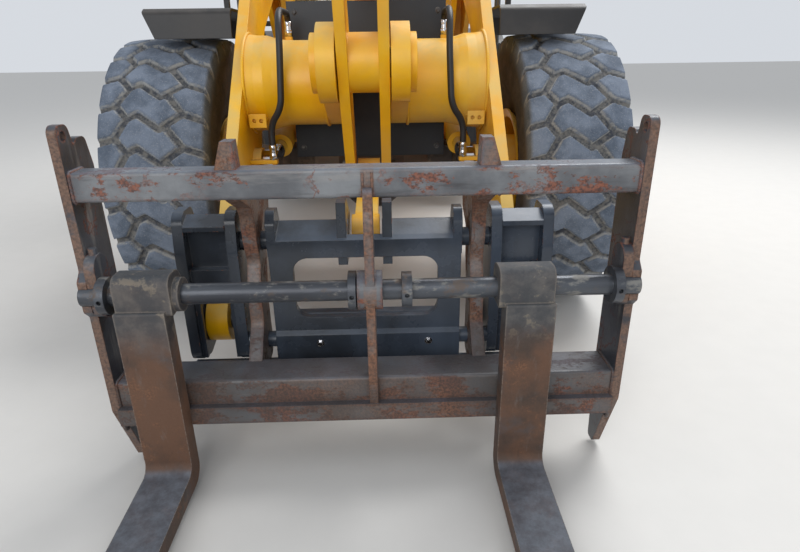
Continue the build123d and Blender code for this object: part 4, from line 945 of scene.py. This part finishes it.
work_lamp_height = 3.124
work_lamp_faces = ((-1.2655, 1), (-2.8265, -1))
pane_size = (0.054, 0.030, 0.008)
panes = [
    pane_form(place(x, ahead, work_lamp_height), *pane_size, sign)
    for x in (-0.520, 0.520)
    for ahead, sign in work_lamp_faces
]
fitting("work_lamp_lenses", joined(panes), "lamp_glass", "rear_frame")


# Seat: cushion, back and head-rest, with bellows below and posts between
face_sink = 0.04
groove_spread = 0.035
sewn_depth = 0.10


def squared(value):
    """Value raised to 0.32 with its sign kept, which squares a circle off."""
    return np.sign(value) * np.abs(value) ** 0.32


def cushion_form(low, high, grooves, groove_axis):
    """Upholstered pad: a superellipsoid between two corners with sewn grooves.

    With u round and v up, the direction (cos v cos u, cos v sin u, sin v) is squared off into d. A point is
    drawn in by the share face_sink x (1 - |d|^2 / 3), which sinks the faces between the corners, and each
    groove draws it in further by a narrow bell curve.
    """
    u, v = np.meshgrid(np.linspace(-math.pi, math.pi, 97)[:-1], np.linspace(-math.pi / 2, math.pi / 2, 49))
    ring = squared(np.cos(v))
    unit = np.stack([ring * squared(np.cos(u)), ring * squared(np.sin(u)), squared(np.sin(v))], axis=-1)
    centre, half = (low + high) / 2, (high - low) / 2
    sunk = 1 - face_sink * (1 - (unit**2).sum(axis=-1, keepdims=True) / 3)
    sewn = np.zeros(u.shape)
    for groove in grooves:
        sewn = sewn + np.exp(-(((unit[..., groove_axis] - groove) / groove_spread) ** 2))
    points = centre + unit * half * sunk * (1 - sewn_depth * sewn[..., None])
    return points.reshape(-1, 3), grid_faces(*u.shape, close_columns=True)


seat_pads = {
    "seat_cushion": ((-0.245, -1.985, 1.785), (0.245, -2.440, 1.918), (-0.45, 0.45), 0),
    "seat_back": ((-0.232, -2.446, 1.935), (0.232, -2.555, 2.400), (-0.4, 0.0, 0.4), 2),
    "seat_headrest": ((-0.130, -2.455, 2.445), (0.130, -2.550, 2.612), (), 2),
}
for name, (low, high, grooves, groove_axis) in seat_pads.items():
    pad_shape = cushion_form(place(*low), place(*high), grooves, groove_axis)
    pad = fitting(name, pad_shape, "seat_fabric", "rear_frame")
    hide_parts("seat")
bellows_high = 0.258
bellows_radius = 0.150
bellows_swell = 0.012
bellows_folds = 6
bellows_rows = [(0, 0)]
for rise in np.linspace(0, 1, 61):
    fold = bellows_swell * math.cos(2 * math.pi * bellows_folds * rise)
    bellows_rows.append((bellows_high * rise, bellows_radius + fold))
bellows_rows.append((bellows_high, 0))
bellows_shape = turned_form(bellows_rows, place(0, -2.270, 1.522), (0, 0, 1), 40)
bellows = fitting("seat_bellows", bellows_shape, "black_plastic", "rear_frame")
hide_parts("seat")
post_radius = 0.008
posts = []
for x in (-0.060, 0.060):
    post_path = [place(x, -2.500, z) for z in (2.380, 2.480)]
    posts.append(tube_form(resampled(post_path, 0.02)[0], post_radius, sideways, 10))
head_posts = fitting("headrest_posts", joined(posts), "chrome_rod", "rear_frame")
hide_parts("seat")


# Studio
floor_half = 40
floor_tone = colour(206, 204, 200)
softbox_size = 5.0
floor_corners = np.array([(x, y, 0) for x, y in ((-1, -1), (1, -1), (1, 1), (-1, 1))], float) * floor_half
floor_mesh = bpy.data.meshes.new("floor")
floor_mesh.from_pydata(floor_corners.tolist(), [], [(0, 1, 2, 3)])
floor_mesh.materials.append(plain_finish("floor", floor_tone, 0.9, depth=0.0, radius=0.0, vary=0.02))
floor = bpy.data.objects.new("floor", floor_mesh)
bpy.context.collection.objects.link(floor)


def softbox(name, position, target, power):
    """Square area lamp at a place, facing a target."""
    lamp = bpy.data.lights.new(name, "AREA")
    lamp.size = softbox_size
    lamp.energy = power
    holder = bpy.data.objects.new(name, lamp)
    bpy.context.collection.objects.link(holder)
    holder.location = position
    aim = Vector(position) - Vector(target)
    holder.rotation_euler = aim.to_track_quat("Z", "Y").to_euler()


softbox("key", (3.5, 2.0, 8.0), (0, -1, 0.6), 700)
softbox("front_fill", (-2.0, -9.0, 4.5), (0, -1, 0.8), 260)
world = bpy.data.worlds.new("studio")
world.use_nodes = True
bpy.context.scene.world = world
sky = world.node_tree.nodes["Background"]
sky.inputs["Color"].default_value = (0.90, 0.94, 1.0, 1.0)
sky.inputs["Strength"].default_value = 0.75
